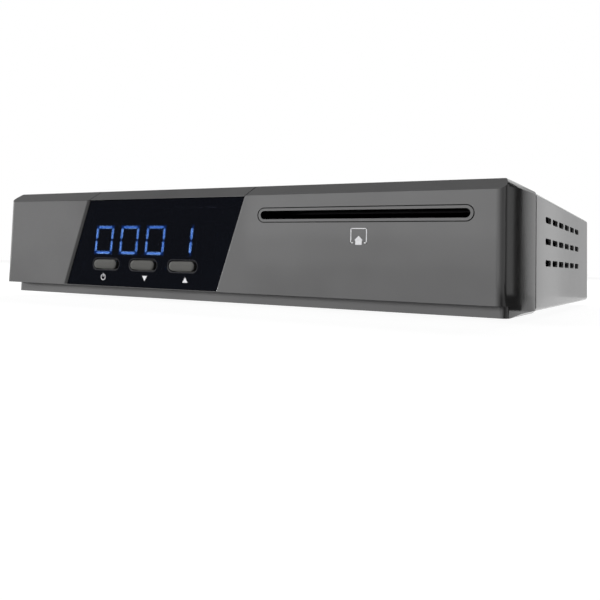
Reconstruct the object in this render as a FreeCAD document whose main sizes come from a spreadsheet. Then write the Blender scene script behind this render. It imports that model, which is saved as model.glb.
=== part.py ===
import FreeCAD, Part
import math
import os
import re
import Sketcher

# A satellite television receiver: a plastic bezel with a slanted display window, three push buttons and a
# smart-card slot, in front of a sheet-steel case that holds the boards and carries the rear sockets.
# Every formula below is in the receiver's own directions, in millimetres: x to the right across the front,
# y backwards from the front face and z up from the bottom of the bezel. Each sub-part is then placed so that
# the origin is the middle of the footprint, on the surface that the feet stand on.

doc = FreeCAD.newDocument("satellite_receiver")

SIZES = (
    ("body_depth", 145, "front face to the back of the case"),
    ("body_height", 32.6, "bezel, bottom to top"),
    ("foot_lift", 1.5, "air under the bezel"),
    ("seam_gap", 0.15, "bezel to case"),
    ("fit_gap", 0.1, "between pieces that are laid together"),
    ("slide_gap", 0.3, "round a piece that moves"),
    ("bezel_depth", 34.8, "front face to the seam"),
    ("bezel_wall", 2, "bezel top, bottom and sides"),
    ("face_wall", 3, "bezel front wall"),
    ("face_step", 8, "front face to the full width of the bezel's hollow"),
    ("band_drop", 3, "height of the sloped band along the top"),
    ("band_setback", 4.5, "depth of the sloped band along the top"),
    ("ledge_height", 3, "height of the recessed ledge along the bottom"),
    ("ledge_setback", 5, "depth of the recessed ledge"),
    ("ledge_bevel", 0.8, "bevel under the ledge"),
    ("ledge_round", 1.5, "corner radius of the ledge, seen from above"),
    ("ledge_inset", 0.9, "how far the ledge draws in at the front of each side"),
    ("side_taper", 0.4, "how far each side draws in at the front"),
    ("taper_length", 17.5, "length over which the side draws in"),
    ("corner_round", 2.1, "front corner radius"),
    ("facet_width", 1.8, "facet along each upper side edge, at the front"),
    ("facet_end", 0.8, "facet along each upper side edge, at the seam"),
    ("low_facet", 0.7, "facet along each lower side edge"),
    ("rim_length", 3.5, "bezel rim that the case slips over"),
    ("boss_radius", 2.6, "screw boss"),
    ("pad_width", 32.3, "left side to the display window at mid-height"),
    ("lens_width", 57.9, "display window, side to side"),
    ("lens_to_slot", 9.55, "display window at mid-height to the card slot"),
    ("lens_slant", 8.5, "how far the window leans over its height"),
    ("lens_recess", 0.6, "window face behind the front face"),
    ("lens_thickness", 1.4, "window sheet"),
    ("lens_lip", 0.35, "rim above and below the window"),
    ("tape_thickness", 0.2, "adhesive frame"),
    ("tape_width", 2.2, "adhesive frame"),
    ("slot_to_side", 8.25, "card slot to the right side"),
    ("card_level", 24.2, "middle of the card slot, up"),
    ("slot_length", 57, "card slot"),
    ("slot_height", 2.25, "card slot"),
    ("slot_border", 0.8, "shallow recess round the card slot"),
    ("slot_recess", 0.5, "depth of that recess"),
    ("button_shift", -2.45, "middle button from the window's middle"),
    ("button_pitch", 14.65, "between buttons"),
    ("button_level", 9.8, "buttons, up"),
    ("button_width", 9, "button cap"),
    ("hole_width", 10.3, "button holes in the window"),
    ("button_height", 2.65, "button cap"),
    ("button_proud", 0.6, "cap in front of the window"),
    ("button_travel", 0.3, "press of a button"),
    ("flange_thickness", 0.8, "flange behind the window"),
    ("flange_border", 1.15, "flange past the cap at each end"),
    ("stem_radius", 1.5, "button stem"),
    ("stem_level", 8.6, "stems and switches, up"),
    ("guide_front", 4, "front of the button guide"),
    ("guide_thickness", 1, "button guide"),
    ("switch_side", 6, "tact switch housing"),
    ("switch_depth", 3.4, "tact switch housing"),
    ("plunger_radius", 1.7, "tact switch plunger"),
    ("plunger_proud", 1.1, "plunger in front of its housing"),
    ("plunger_depth", 1.2, "plunger inside its housing"),
    ("panel_board_front", 11.4, "front face to the front board"),
    ("panel_board_thickness", 1.2, "front board"),
    ("panel_board_inset", 11.5, "left side to the front board"),
    ("panel_board_gap", 1.25, "front board to the card reader"),
    ("panel_board_low", 4.6, "front board, lower edge"),
    ("panel_board_high", 27.4, "front board, upper edge"),
    ("display_shift", -4.2, "display module from the window's middle"),
    ("display_low", 12, "display module, lower side"),
    ("display_high", 23, "display module, upper side"),
    ("digit_pitch", 10.1, "between digits"),
    ("digit_width", 7.4, "digit"),
    ("digit_height", 8.75, "digit"),
    ("digit_level", 17.25, "middle of the digits, up"),
    ("digit_slant", 5, "lean of the digits, degrees"),
    ("stroke_width", 1.05, "display segment"),
    ("stroke_gap", 0.12, "between segments"),
    ("stroke_thickness", 0.2, "display segment, front to back"),
    ("sensor_shift", 22.55, "infrared receiver from the window's middle"),
    ("sensor_level", 19, "infrared receiver, up"),
    ("sensor_width", 6, "infrared receiver"),
    ("sensor_depth", 5, "infrared receiver can"),
    ("sensor_eye_radius", 2.2, "infrared receiver dome"),
    ("sheet_thickness", 0.8, "case steel"),
    ("case_rise", 0.33, "case bottom above bezel bottom"),
    ("bend_radius", 1.3, "outside of the case bends"),
    ("hem_width", 6.5, "cover edge turned in under the pan"),
    ("vent_first", 49.8, "front end of the first vent"),
    ("vent_pitch", 12, "between vents along the side"),
    ("vent_length", 9.4, "vent"),
    ("vent_height", 1.8, "vent"),
    ("vent_lowest", 13.6, "lowest row of vents, up"),
    ("vent_row_pitch", 6.25, "between rows of vents"),
    ("rear_flange", 6.6, "cover flange down over the rear panel"),
    ("pan_flange", 7, "pan side flange"),
    ("tongue_front", 9, "front edge of the pan's tongue"),
    ("tongue_rise", 0.97, "step up to the pan's tongue"),
    ("floor_vent_width", 2, "slot in the pan's floor"),
    ("floor_vent_length", 30, "slot in the pan's floor"),
    ("floor_vent_pitch", 11.5, "between slots in the pan's floor"),
    ("floor_vent_front", 79, "front end of the slots in the pan's floor"),
    ("foot_radius", 5, "rubber foot"),
    ("foot_inset", 20.5, "sides to the middle of the feet"),
    ("foot_front", 48, "front feet, back from the front face"),
    ("foot_back_inset", 15, "rear feet from the back of the case"),
    ("peg_radius", 1.9, "foot peg through the pan"),
    ("screw_radius", 1.25, "screw shank"),
    ("screw_head_radius", 2.5, "screw head"),
    ("screw_head_height", 1.4, "screw head"),
    ("board_thickness", 1.6, "main board and card board"),
    ("board_lift", 5, "standoffs under the main board"),
    ("board_inset", 6.5, "sides to the main board"),
    ("board_front", 67, "main board, front edge"),
    ("board_gap", 0.6, "main board to the rear panel"),
    ("standoff_radius", 2.75, "standoff"),
    ("reader_width", 62, "card reader"),
    ("reader_front", 6.6, "card reader, front"),
    ("reader_back", 62, "card reader, back"),
    ("card_width", 54.8, "channel for the card"),
    ("card_gap", 1.2, "height of the channel for the card"),
    ("tray_thickness", 3.2, "card reader below the channel"),
    ("lid_thickness", 0.8, "card reader lid"),
    ("card_stop", 2, "wall behind the card"),
    ("ribbon_width", 10, "flat ribbon cable"),
    ("ribbon_thickness", 0.3, "flat ribbon cable"),
    ("chip_side", 24, "system chip"),
    ("chip_height", 2, "system chip"),
    ("chip_x", 12, "system chip, across"),
    ("sink_side", 28, "heatsink"),
    ("sink_base", 2, "heatsink base"),
    ("sink_height", 9, "heatsink over all"),
    ("fin_pitch", 4.2, "between heatsink fins"),
    ("fin_gap", 2.8, "air between heatsink fins"),
    ("tuner_width", 30, "tuner can"),
    ("tuner_length", 44, "tuner can"),
    ("tuner_height", 14, "tuner can"),
    ("aerial_inset", 23.5, "left side to the LNB input"),
    ("aerial_level", 18, "LNB input, up"),
    ("barrel_radius", 4.76, "F connector thread, outside"),
    ("barrel_step", 0.2, "F connector's mounting thread, wider than its plug thread"),
    ("barrel_bore", 2.6, "F connector, inside"),
    ("barrel_reach", 11, "F connector behind the case"),
    ("nut_flats", 11, "F connector nut across its flats"),
    ("nut_thickness", 2.2, "F connector nut"),
    ("hdmi_step", 23, "LNB input to the HDMI socket"),
    ("hdmi_width", 15, "HDMI socket"),
    ("hdmi_height", 6, "HDMI socket"),
    ("scart_step", 34, "HDMI socket to the SCART socket"),
    ("scart_width", 49.6, "SCART socket"),
    ("scart_height", 14.6, "SCART socket"),
    ("audio_inset", 49.5, "right side to the digital audio socket"),
    ("audio_level", 15, "digital audio socket, up"),
    ("collar_radius", 4.15, "phono collar, outside"),
    ("collar_step", 0.3, "phono collar's base, wider than its free end"),
    ("collar_wall", 0.5, "phono collar"),
    ("collar_reach", 9, "phono collar behind the case"),
    ("usb_inset", 35.5, "right side to the USB socket"),
    ("usb_width", 13.1, "USB socket"),
    ("usb_height", 5.8, "USB socket"),
    ("eye_jack_inset", 23, "right side to the infrared extension jack"),
    ("eye_jack_bore", 1.8, "infrared extension jack"),
    ("power_inset", 12, "right side to the DC inlet"),
    ("power_bore", 3.1, "DC inlet"),
    ("power_pin_radius", 1, "DC inlet pin"),
    ("shell_wall", 0.4, "HDMI and USB shells"),
)

sheet = doc.addObject("Spreadsheet::Sheet", "Sizes")
for row, (alias, size, meaning) in enumerate(SIZES, 1):
    sheet.set(f"A{row}", meaning)
    sheet.set(f"B{row}", str(size))
    sheet.setAlias(f"B{row}", alias)
doc.recompute()

ALIASES = {alias for alias, size, meaning in SIZES}


def formula(text):
    """Points each size's name in text at its cell of the sheet."""
    return re.sub(r"[a-z]\w*", lambda word: f"Sizes.{word[0]}" if word[0] in ALIASES else word[0], str(text))


def value(text):
    """The number that a formula gives now."""
    return float(sheet.evalExpression(formula(text)))


def bind(thing, item, text):
    thing.setExpression(item, formula(text))


# ---- derived levels, as formulas ------------------------------------------------------------------------

FRONT = "(-(body_depth + barrel_reach) / 2)"
FACE_TOP = "(body_height - band_drop)"
WIDTH = "(pad_width + lens_width + lens_to_slot + slot_length + slot_to_side)"
HALF = f"({WIDTH} / 2)"
LENS_MIDDLE = f"(pad_width + lens_width / 2 - {HALF})"
CARD_MIDDLE = f"({HALF} - slot_to_side - slot_length / 2)"
BUTTON_MIDDLE = f"({LENS_MIDDLE} + button_shift)"
DISPLAY_MIDDLE = f"({LENS_MIDDLE} + display_shift)"
SENSOR_MIDDLE = f"({LENS_MIDDLE} + sensor_shift)"
READER_LEFT = f"({CARD_MIDDLE} - reader_width / 2)"
READER_RIGHT = f"({CARD_MIDDLE} + reader_width / 2)"
PANEL_BOARD_LEFT = f"(panel_board_inset - {HALF})"
PANEL_BOARD_RIGHT = f"({READER_LEFT} - panel_board_gap)"
BOARD_HALF = f"({HALF} - board_inset)"
AERIAL_X = f"(aerial_inset - {HALF})"
HDMI_X = f"({AERIAL_X} + hdmi_step)"
SCART_X = f"({HDMI_X} + scart_step)"
AUDIO_X = f"({HALF} - audio_inset)"
USB_X = f"({HALF} - usb_inset)"
EYE_JACK_X = f"({HALF} - eye_jack_inset)"
POWER_X = f"({HALF} - power_inset)"
LENS_BACK = "(lens_recess + lens_thickness)"
POCKET_BACK = f"({LENS_BACK} + tape_thickness)"
LENS_LOW = "(ledge_height + lens_lip)"
LENS_HIGH = f"({FACE_TOP} - lens_lip)"
CASE_FRONT = "(bezel_depth + seam_gap)"
COVER_UNDERSIDE = "(body_height - sheet_thickness)"
PAN_LOW = "(case_rise + sheet_thickness)"
FLOOR = f"({PAN_LOW} + sheet_thickness)"
TONGUE_TOP = f"({FLOOR} + tongue_rise)"
PANEL_BACK = "(body_depth - sheet_thickness)"
PANEL_FRONT = f"({PANEL_BACK} - sheet_thickness)"
BOARD_BACK = f"({PANEL_FRONT} - board_gap)"
PAN_HALF = f"({HALF} - sheet_thickness - fit_gap)"
BOARD_LOW = f"({FLOOR} + board_lift)"
BOARD_TOP = f"({BOARD_LOW} + board_thickness)"
PANEL_BOARD_BACK = "(panel_board_front + panel_board_thickness)"
CARD_LOW = "(card_level - card_gap / 2)"
CARD_HIGH = "(card_level + card_gap / 2)"
TRAY_LOW = f"({CARD_LOW} - tray_thickness)"
CARD_BOARD_LOW = f"({TRAY_LOW} - board_thickness)"
READER_TOP = f"({CARD_HIGH} + lid_thickness)"
SWITCH_FRONT = "(panel_board_front - switch_depth)"
PLUNGER_FRONT = f"({SWITCH_FRONT} - plunger_proud)"

# ---- making solids ---------------------------------------------------------------------------------------

ROLES = {"X": "YZ_Plane", "Y": "XZ_Plane", "Z": "XY_Plane"}
TURNS = {
    "X": FreeCAD.Rotation(FreeCAD.Vector(0, 1, 0), 90),
    "Y": FreeCAD.Rotation(FreeCAD.Vector(1, 0, 0), -90),
    "Z": FreeCAD.Rotation(),
}
nodes = []


def keep(name, thing):
    """Makes thing the sub-part called name."""
    thing.Label = name
    nodes.append(thing)
    return thing


def place(thing, x, y, z):
    """Puts a primitive at a point given in the receiver's directions."""
    bind(thing, ".Placement.Base.x", x)
    bind(thing, ".Placement.Base.y", f"{FRONT} + ({y})")
    bind(thing, ".Placement.Base.z", f"foot_lift + ({z})")


def block(name, x, y, z):
    """A rectangular block between the two planes given for each direction."""
    solid = doc.addObject("Part::Box", name)
    for side, (low, high) in zip(("Length", "Width", "Height"), (x, y, z)):
        bind(solid, side, f"({high}) - ({low})")
    place(solid, x[0], y[0], z[0])
    return solid


def rod(name, axis, centre, span, radius):
    """A round rod along axis; centre is its other two coordinates, in order, and span its two ends."""
    solid = doc.addObject("Part::Cylinder", name)
    solid.Placement.Rotation = TURNS[axis]
    bind(solid, "Radius", radius)
    bind(solid, "Height", f"({span[1]}) - ({span[0]})")
    spots = list(centre)
    spots.insert("XYZ".index(axis), span[0])
    place(solid, *spots)
    return solid


def fuse(name, parts):
    whole = doc.addObject("Part::MultiFuse", name)
    whole.Shapes = parts
    return whole


def cut(name, base, tools):
    """Takes one or more tools away from base."""
    result = doc.addObject("Part::Cut", name)
    result.Base = base
    result.Tool = tools[0] if len(tools) == 1 else fuse(f"{name}_tools", tools)
    return result


def group(name, solids):
    """Like pieces that are kept together in one node, as separate solids."""
    set_of_solids = doc.addObject("Part::Compound", name)
    set_of_solids.Links = solids
    return keep(name, set_of_solids)


def new_body(name):
    body = doc.addObject("PartDesign::Body", name)
    place(body, "0", "0", "0")
    return keep(name, body)


def sketch(body, name, axis, at="0"):
    """A sketch across axis, at that distance along it: (y, z) across X, (x, z) across Y and (x, y) across Z."""
    drawing = body.newObject("Sketcher::SketchObject", name)
    plane = next(item for item in body.Origin.OriginFeatures if item.Role == ROLES[axis])
    drawing.AttachmentSupport = [(plane, "")]
    drawing.MapMode = "FlatFace"
    bind(drawing, "AttachmentOffset.Base.z", f"-({at})" if axis == "Y" else at)
    return drawing


def pin_point(drawing, geometry, end, across, up):
    """Ties one point of a sketch to the sketch's origin by two formulas."""
    for kind, text in (("DistanceX", across), ("DistanceY", up)):
        number = drawing.addConstraint(Sketcher.Constraint(kind, -1, 1, geometry, end, value(text)))
        bind(drawing, f"Constraints[{number}]", text)


def outline(drawing, points):
    """A closed outline. A point with a third value starts an arc of that radius, which bulges to its left."""
    corners = [FreeCAD.Vector(value(point[0]), value(point[1]), 0) for point in points]
    first = drawing.GeometryCount
    for point, here, there in zip(points, corners, corners[1:] + corners[:1]):
        if len(point) == 3:
            chord = there - here
            radius = value(point[2])
            left = FreeCAD.Vector(-chord.y, chord.x, 0).normalize()
            centre = (here + there) / 2 - left * math.sqrt(radius**2 - (chord.Length / 2) ** 2)
            angles = [math.atan2(end.y - centre.y, end.x - centre.x) for end in (there, here)]
            full = Part.Circle(centre, FreeCAD.Vector(0, 0, 1), radius)
            drawing.addGeometry(Part.ArcOfCircle(full, angles[0], angles[0] + (angles[1] - angles[0]) % math.tau))
        else:
            drawing.addGeometry(Part.LineSegment(here, there))
    for step, point in enumerate(points):
        this, after = first + step, (step + 1) % len(points)
        start, end = (2, 1) if len(point) == 3 else (1, 2)
        next_start = 2 if len(points[after]) == 3 else 1
        pin_point(drawing, this, start, point[0], point[1])
        drawing.addConstraint(Sketcher.Constraint("Coincident", this, end, first + after, next_start))
        if len(point) == 3:
            number = drawing.addConstraint(Sketcher.Constraint("Radius", this, value(point[2])))
            bind(drawing, f"Constraints[{number}]", point[2])


def rectangle(drawing, across, up):
    outline(drawing, [(across[0], up[0]), (across[1], up[0]), (across[1], up[1]), (across[0], up[1])])


def circle(drawing, across, up, radius):
    where = FreeCAD.Vector(value(across), value(up), 0)
    number = drawing.addGeometry(Part.Circle(where, FreeCAD.Vector(0, 0, 1), value(radius)))
    pin_point(drawing, number, 3, across, up)
    size = drawing.addConstraint(Sketcher.Constraint("Radius", number, value(radius)))
    bind(drawing, f"Constraints[{size}]", radius)


def stadium(drawing, across, up, length, height):
    """A slot with round ends, lying across its sketch."""
    reach, half = f"(({length}) - ({height})) / 2", f"({height}) / 2"
    middle = FreeCAD.Vector(value(across), value(up), 0)
    span, radius = value(reach), value(half)
    first = drawing.GeometryCount
    for side in (-1, 1):
        level = middle + FreeCAD.Vector(0, side * radius, 0)
        offset = FreeCAD.Vector(side * -span, 0, 0)
        drawing.addGeometry(Part.LineSegment(level + offset, level - offset))
        round_end = Part.Circle(middle - offset, FreeCAD.Vector(0, 0, 1), radius)
        quarter = -side * math.pi / 2
        drawing.addGeometry(Part.ArcOfCircle(round_end, -math.pi / 2 if side < 0 else math.pi / 2,
                                             math.pi / 2 if side < 0 else 3 * math.pi / 2))
    lower, right, upper, left = range(first, first + 4)
    pin_point(drawing, lower, 1, f"{across} - {reach}", f"{up} - {half}")
    pin_point(drawing, lower, 2, f"{across} + {reach}", f"{up} - {half}")
    pin_point(drawing, upper, 1, f"{across} + {reach}", f"{up} + {half}")
    pin_point(drawing, upper, 2, f"{across} - {reach}", f"{up} + {half}")
    for line_end, arc_end in (((lower, 2), (right, 1)), ((right, 2), (upper, 1)), ((upper, 2), (left, 1)),
                              ((left, 2), (lower, 1))):
        drawing.addConstraint(Sketcher.Constraint("Coincident", *line_end, *arc_end))
    for arc, sign in ((right, "+"), (left, "-")):
        text = f"{across} {sign} {reach}"
        number = drawing.addConstraint(Sketcher.Constraint("DistanceX", -1, 1, arc, 3, value(text)))
        bind(drawing, f"Constraints[{number}]", text)


def pad(body, drawing, length, backwards=False):
    """Adds material along the sketch's own axis, or against it: a sketch across Y pads forwards."""
    feature = body.newObject("PartDesign::Pad", f"{drawing.Name}_pad")
    feature.Profile = drawing
    bind(feature, "Length", length)
    feature.Reversed = backwards
    return feature


def pocket(body, drawing, length, backwards=False, both_ways=False):
    """Takes material away against the sketch's own axis, and makes sure that it took some."""
    doc.recompute()
    before = body.Shape.Volume
    feature = body.newObject("PartDesign::Pocket", f"{drawing.Name}_cut")
    feature.Profile = drawing
    bind(feature, "Length", length)
    feature.Reversed = backwards
    feature.SideType = "Symmetric" if both_ways else "One side"
    doc.recompute()
    if body.Shape.Volume >= before:
        raise ValueError(f"{feature.Name} cuts nothing")
    return feature


def dress(body, kind, size, chosen):
    """A fillet or chamfer on the edges of the body's last feature that chosen accepts."""
    doc.recompute()
    base = body.Tip
    edges = [f"Edge{number}" for number, edge in enumerate(base.Shape.Edges, 1) if chosen(edge)]
    if not edges:
        raise ValueError(f"no edge of {body.Label} to {kind}")
    feature = body.newObject(f"PartDesign::{kind}", f"{body.Name}_{kind.lower()}")
    feature.Base = (base, edges)
    bind(feature, "Radius" if kind == "Fillet" else "Size", size)
    return feature


def runs_along(edge, axis):
    ends = [vertex.Point for vertex in edge.Vertexes]
    if len(ends) != 2 or edge.Curve.TypeId != "Part::GeomLine":
        return False
    line = ends[1] - ends[0]
    return abs(line["XYZ".index(axis)]) > 0.999 * line.Length


def near(here, there):
    return abs(here - there) < 0.01


# ---- front bezel: one moulding with a slanted window, a card slot and a rim for the case ------------------


def leaning(shift, level):
    """Across position of a line that leans with the display window, shift from the window's middle."""
    middle = f"((ledge_height + {FACE_TOP}) / 2)"
    return f"{LENS_MIDDLE} + {shift} + lens_slant * (({level}) - {middle}) / ({FACE_TOP} - ledge_height)"


def window(drawing, inset):
    """The display window's outline, drawn in by inset all round."""
    low, high = f"{LENS_LOW} + {inset}", f"{LENS_HIGH} - {inset}"
    edge = f"(lens_width / 2 - ({inset}))"
    outline(drawing, [(leaning(f"-{edge}", low), low), (leaning(edge, low), low),
                      (leaning(edge, high), high), (leaning(f"-{edge}", high), high)])


BOSSES = ((f"{PANEL_BOARD_LEFT} + 5", "8"), (f"{PANEL_BOARD_LEFT} + 5", "24"),
          (f"{PANEL_BOARD_RIGHT} - 4", "7.5"))
BEZEL_SCREWS = (f"-({HALF} - 17)", "0", f"({HALF} - 17)")
BEZEL_SCREW_Y = "(tongue_front + 13)"

bezel = new_body("front_bezel")
drawing = sketch(bezel, "bezel_side_view", "X", f"-{HALF}")
outline(drawing, [("0", "ledge_height"), ("0", FACE_TOP), ("band_setback", "body_height"),
                  ("bezel_depth", "body_height"), ("bezel_depth", "0"), ("ledge_setback + ledge_bevel", "0"),
                  ("ledge_setback", "ledge_bevel"), ("ledge_setback", "ledge_height")])
pad(bezel, drawing, WIDTH)

TAPER_RADIUS = "(side_taper ^ 2 + taper_length ^ 2) / (2 * side_taper)"
drawing = sketch(bezel, "bezel_tapers", "Z")
outline(drawing, [(HALF, "taper_length", TAPER_RADIUS), (f"{HALF} - side_taper", "0"),
                  (f"{HALF} - side_taper", "-5"), (f"{HALF} + 5", "-5"), (f"{HALF} + 5", "taper_length")])
outline(drawing, [(f"-{HALF} + side_taper", "0", TAPER_RADIUS), (f"-{HALF}", "taper_length"),
                  (f"-{HALF} - 5", "taper_length"), (f"-{HALF} - 5", "-5"), (f"-{HALF} + side_taper", "-5")])
pocket(bezel, drawing, "4 * body_height", both_ways=True)

LEDGE_SIDE = f"({HALF} - ledge_inset)"
drawing = sketch(bezel, "bezel_ledge_corners", "Z")
outline(drawing, [(HALF, "taper_length"), (LEDGE_SIDE, "ledge_setback + ledge_round", "ledge_round"),
                  (f"{LEDGE_SIDE} - ledge_round", "ledge_setback"), (f"{LEDGE_SIDE} - ledge_round", "ledge_setback - 3"),
                  (f"{HALF} + 5", "ledge_setback - 3"), (f"{HALF} + 5", "taper_length")])
outline(drawing, [(f"-{LEDGE_SIDE} + ledge_round", "ledge_setback", "ledge_round"),
                  (f"-{LEDGE_SIDE}", "ledge_setback + ledge_round"), (f"-{HALF}", "taper_length"),
                  (f"-{HALF} - 5", "taper_length"), (f"-{HALF} - 5", "ledge_setback - 3"),
                  (f"-{LEDGE_SIDE} + ledge_round", "ledge_setback - 3")])
pocket(bezel, drawing, "2 * ledge_height", both_ways=True)

corner = value(f"{HALF} - side_taper")
dress(bezel, "Fillet", "corner_round", lambda edge: runs_along(edge, "Z") and near(edge.CenterOfMass.y, 0)
      and near(abs(edge.CenterOfMass.x), corner))

for side, level, turn, start, end in (
        (1, "body_height", -45, "facet_width", "facet_end"), (1, "0", 45, "low_facet", "low_facet"),
        (-1, "body_height", -135, "facet_width", "facet_end"), (-1, "0", 135, "low_facet", "low_facet")):
    facet = bezel.newObject("PartDesign::SubtractiveWedge", "bezel_facet")
    facet.Placement.Rotation = FreeCAD.Rotation(FreeCAD.Vector(0, 1, 0), turn)
    for item, text in (("Xmin", f"-{start} / sqrt(2)"), ("X2min", f"-{end} / sqrt(2)"), ("Xmax", "6"),
                       ("X2max", "6"), ("Ymin", "0"), ("Ymax", "bezel_depth"), ("Zmin", "-9"), ("Z2min", "-9"),
                       ("Zmax", "9"), ("Z2max", "9")):
        bind(facet, item, text)
    bind(facet, ".Placement.Base.x", f"{side} * {HALF}")
    bind(facet, ".Placement.Base.z", level)

drawing = sketch(bezel, "bezel_hollow", "Y", "face_step")
rectangle(drawing, (f"-{HALF} + bezel_wall", f"{HALF} - bezel_wall"), ("bezel_wall", "body_height - bezel_wall"))
pocket(bezel, drawing, "bezel_depth")

drawing = sketch(bezel, "bezel_front_hollow", "Y", "face_wall")
rectangle(drawing, (f"-{HALF} + 2 * bezel_wall", f"{HALF} - 2 * bezel_wall"),
          ("ledge_height + bezel_wall", f"{FACE_TOP} - bezel_wall"))
pocket(bezel, drawing, "face_step")

drawing = sketch(bezel, "bezel_window_pocket", "Y")
window(drawing, "0")
pocket(bezel, drawing, POCKET_BACK)
doc.recompute()
dress(bezel, "Chamfer", "lens_recess", lambda edge: near(edge.CenterOfMass.y, 0)
      and near(abs(edge.CenterOfMass.x - value(LENS_MIDDLE)), value("lens_width / 2")))

drawing = sketch(bezel, "bezel_window", "Y")
window(drawing, "tape_width")
pocket(bezel, drawing, "face_step")

drawing = sketch(bezel, "bezel_slot_recess", "Y")
stadium(drawing, CARD_MIDDLE, "card_level", "slot_length + 2 * slot_border", "slot_height + 2 * slot_border")
pocket(bezel, drawing, "slot_recess")
drawing = sketch(bezel, "bezel_slot", "Y")
stadium(drawing, CARD_MIDDLE, "card_level", "slot_length", "slot_height")
pocket(bezel, drawing, "face_step")

drawing = sketch(bezel, "bezel_bosses", "Y", "face_wall / 2")
for across, up in BOSSES:
    circle(drawing, across, up, "boss_radius")
pad(bezel, drawing, "panel_board_front - face_wall / 2", backwards=True)
drawing = sketch(bezel, "bezel_boss_holes", "Y", "face_wall")
for across, up in BOSSES:
    circle(drawing, across, up, "screw_radius")
pocket(bezel, drawing, "panel_board_front")

RIM_OUT = f"({HALF} - sheet_thickness - fit_gap)"
RIM_IN = f"({HALF} - bezel_wall)"
RIM_TOP = f"({COVER_UNDERSIDE} - fit_gap)"
drawing = sketch(bezel, "bezel_rim", "Y", "bezel_depth - bezel_wall")
outline(drawing, [(f"-{RIM_OUT}", f"{FLOOR} + pan_flange"), (f"-{RIM_OUT}", RIM_TOP), (RIM_OUT, RIM_TOP),
                  (RIM_OUT, f"{FLOOR} + pan_flange"), (RIM_IN, f"{FLOOR} + pan_flange"),
                  (RIM_IN, "body_height - bezel_wall"), (f"-{RIM_IN}", "body_height - bezel_wall"),
                  (f"-{RIM_IN}", f"{FLOOR} + pan_flange")])
pad(bezel, drawing, "bezel_wall + rim_length", backwards=True)

drawing = sketch(bezel, "bezel_screw_holes", "Z")
for across in BEZEL_SCREWS:
    circle(drawing, across, BEZEL_SCREW_Y, "screw_radius + fit_gap")
pocket(bezel, drawing, "bezel_wall + 1", backwards=True)
drawing = sketch(bezel, "bezel_screw_seats", "Z")
for across in BEZEL_SCREWS:
    circle(drawing, across, BEZEL_SCREW_Y, "screw_head_radius + fit_gap")
pocket(bezel, drawing, "bezel_wall / 2", backwards=True)

# ---- display window and its adhesive frame ---------------------------------------------------------------

BUTTONS = ("power", "channel_down", "channel_up")


def button_x(number):
    return f"({BUTTON_MIDDLE} + button_pitch * {number - 1})"


lens = new_body("display_lens")
drawing = sketch(lens, "lens_face", "Y", "lens_recess")
window(drawing, "fit_gap")
pad(lens, drawing, "lens_thickness", backwards=True)
drawing = sketch(lens, "lens_button_holes", "Y", "lens_recess")
for number in range(len(BUTTONS)):
    stadium(drawing, button_x(number), "button_level", "hole_width", "button_height + 2 * slide_gap")
pocket(lens, drawing, "lens_thickness + 1")

tape = new_body("lens_adhesive")
drawing = sketch(tape, "tape_frame", "Y", LENS_BACK)
window(drawing, "fit_gap")
window(drawing, "tape_width")
pad(tape, drawing, "tape_thickness", backwards=True)

# ---- push buttons, each with a flange that stops it behind the window and a stem to its switch ------------

FLANGE_FRONT = f"({LENS_BACK} + fit_gap)"
FLANGE_BACK = f"({FLANGE_FRONT} + flange_thickness)"

for number, button_name in enumerate(BUTTONS):
    button = new_body(f"button_{button_name}")
    drawing = sketch(button, f"{button_name}_cap", "Y", "lens_recess - button_proud")
    stadium(drawing, button_x(number), "button_level", "button_width", "button_height")
    pad(button, drawing, f"{FLANGE_BACK} - lens_recess + button_proud", backwards=True)
    drawing = sketch(button, f"{button_name}_flange", "Y", FLANGE_FRONT)
    rectangle(drawing, (f"{button_x(number)} - button_width / 2 - flange_border",
                        f"{button_x(number)} + button_width / 2 + flange_border"),
              ("stem_level - stem_radius", "button_level + button_height / 2 + fit_gap"))
    pad(button, drawing, "flange_thickness", backwards=True)
    drawing = sketch(button, f"{button_name}_stem", "Y", FLANGE_FRONT)
    circle(drawing, button_x(number), "stem_level", "stem_radius")
    pad(button, drawing, f"{PLUNGER_FRONT} - fit_gap / 2 - {FLANGE_FRONT}", backwards=True)
    front = value("lens_recess - button_proud")
    dress(button, "Fillet", "fit_gap * 2", lambda edge: near(edge.BoundBox.YMax, front))

guide_plate = block("guide_plate", (leaning("-lens_width / 2", "stem_level"), leaning("lens_width / 2", "stem_level")),
                    ("guide_front", "guide_front + guide_thickness"),
                    ("stem_level - 2 * stem_radius", "stem_level + 2 * stem_radius"))
guide_feet = [block("guide_foot", (f"{start} + {low}", f"{start} + {high}"), ("face_wall", "guide_front"),
                    ("stem_level - 2 * stem_radius", "stem_level + 2 * stem_radius"))
              for start, low, high in ((leaning("-lens_width / 2", "stem_level"), "0", "tape_width / 2"),
                                       (leaning("lens_width / 2", "stem_level"), "-tape_width / 2", "0"))]
guide_holes = [rod("guide_hole", "Y", (button_x(number), "stem_level"),
                   ("guide_front - 1", "guide_front + guide_thickness + 1"), "stem_radius + slide_gap / 2")
               for number in range(len(BUTTONS))]
keep("button_guide", cut("button_guide", fuse("guide_solid", [guide_plate] + guide_feet), guide_holes))

# ---- tact switches: housings on the front board and a plunger that moves with each button -----------------

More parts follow.
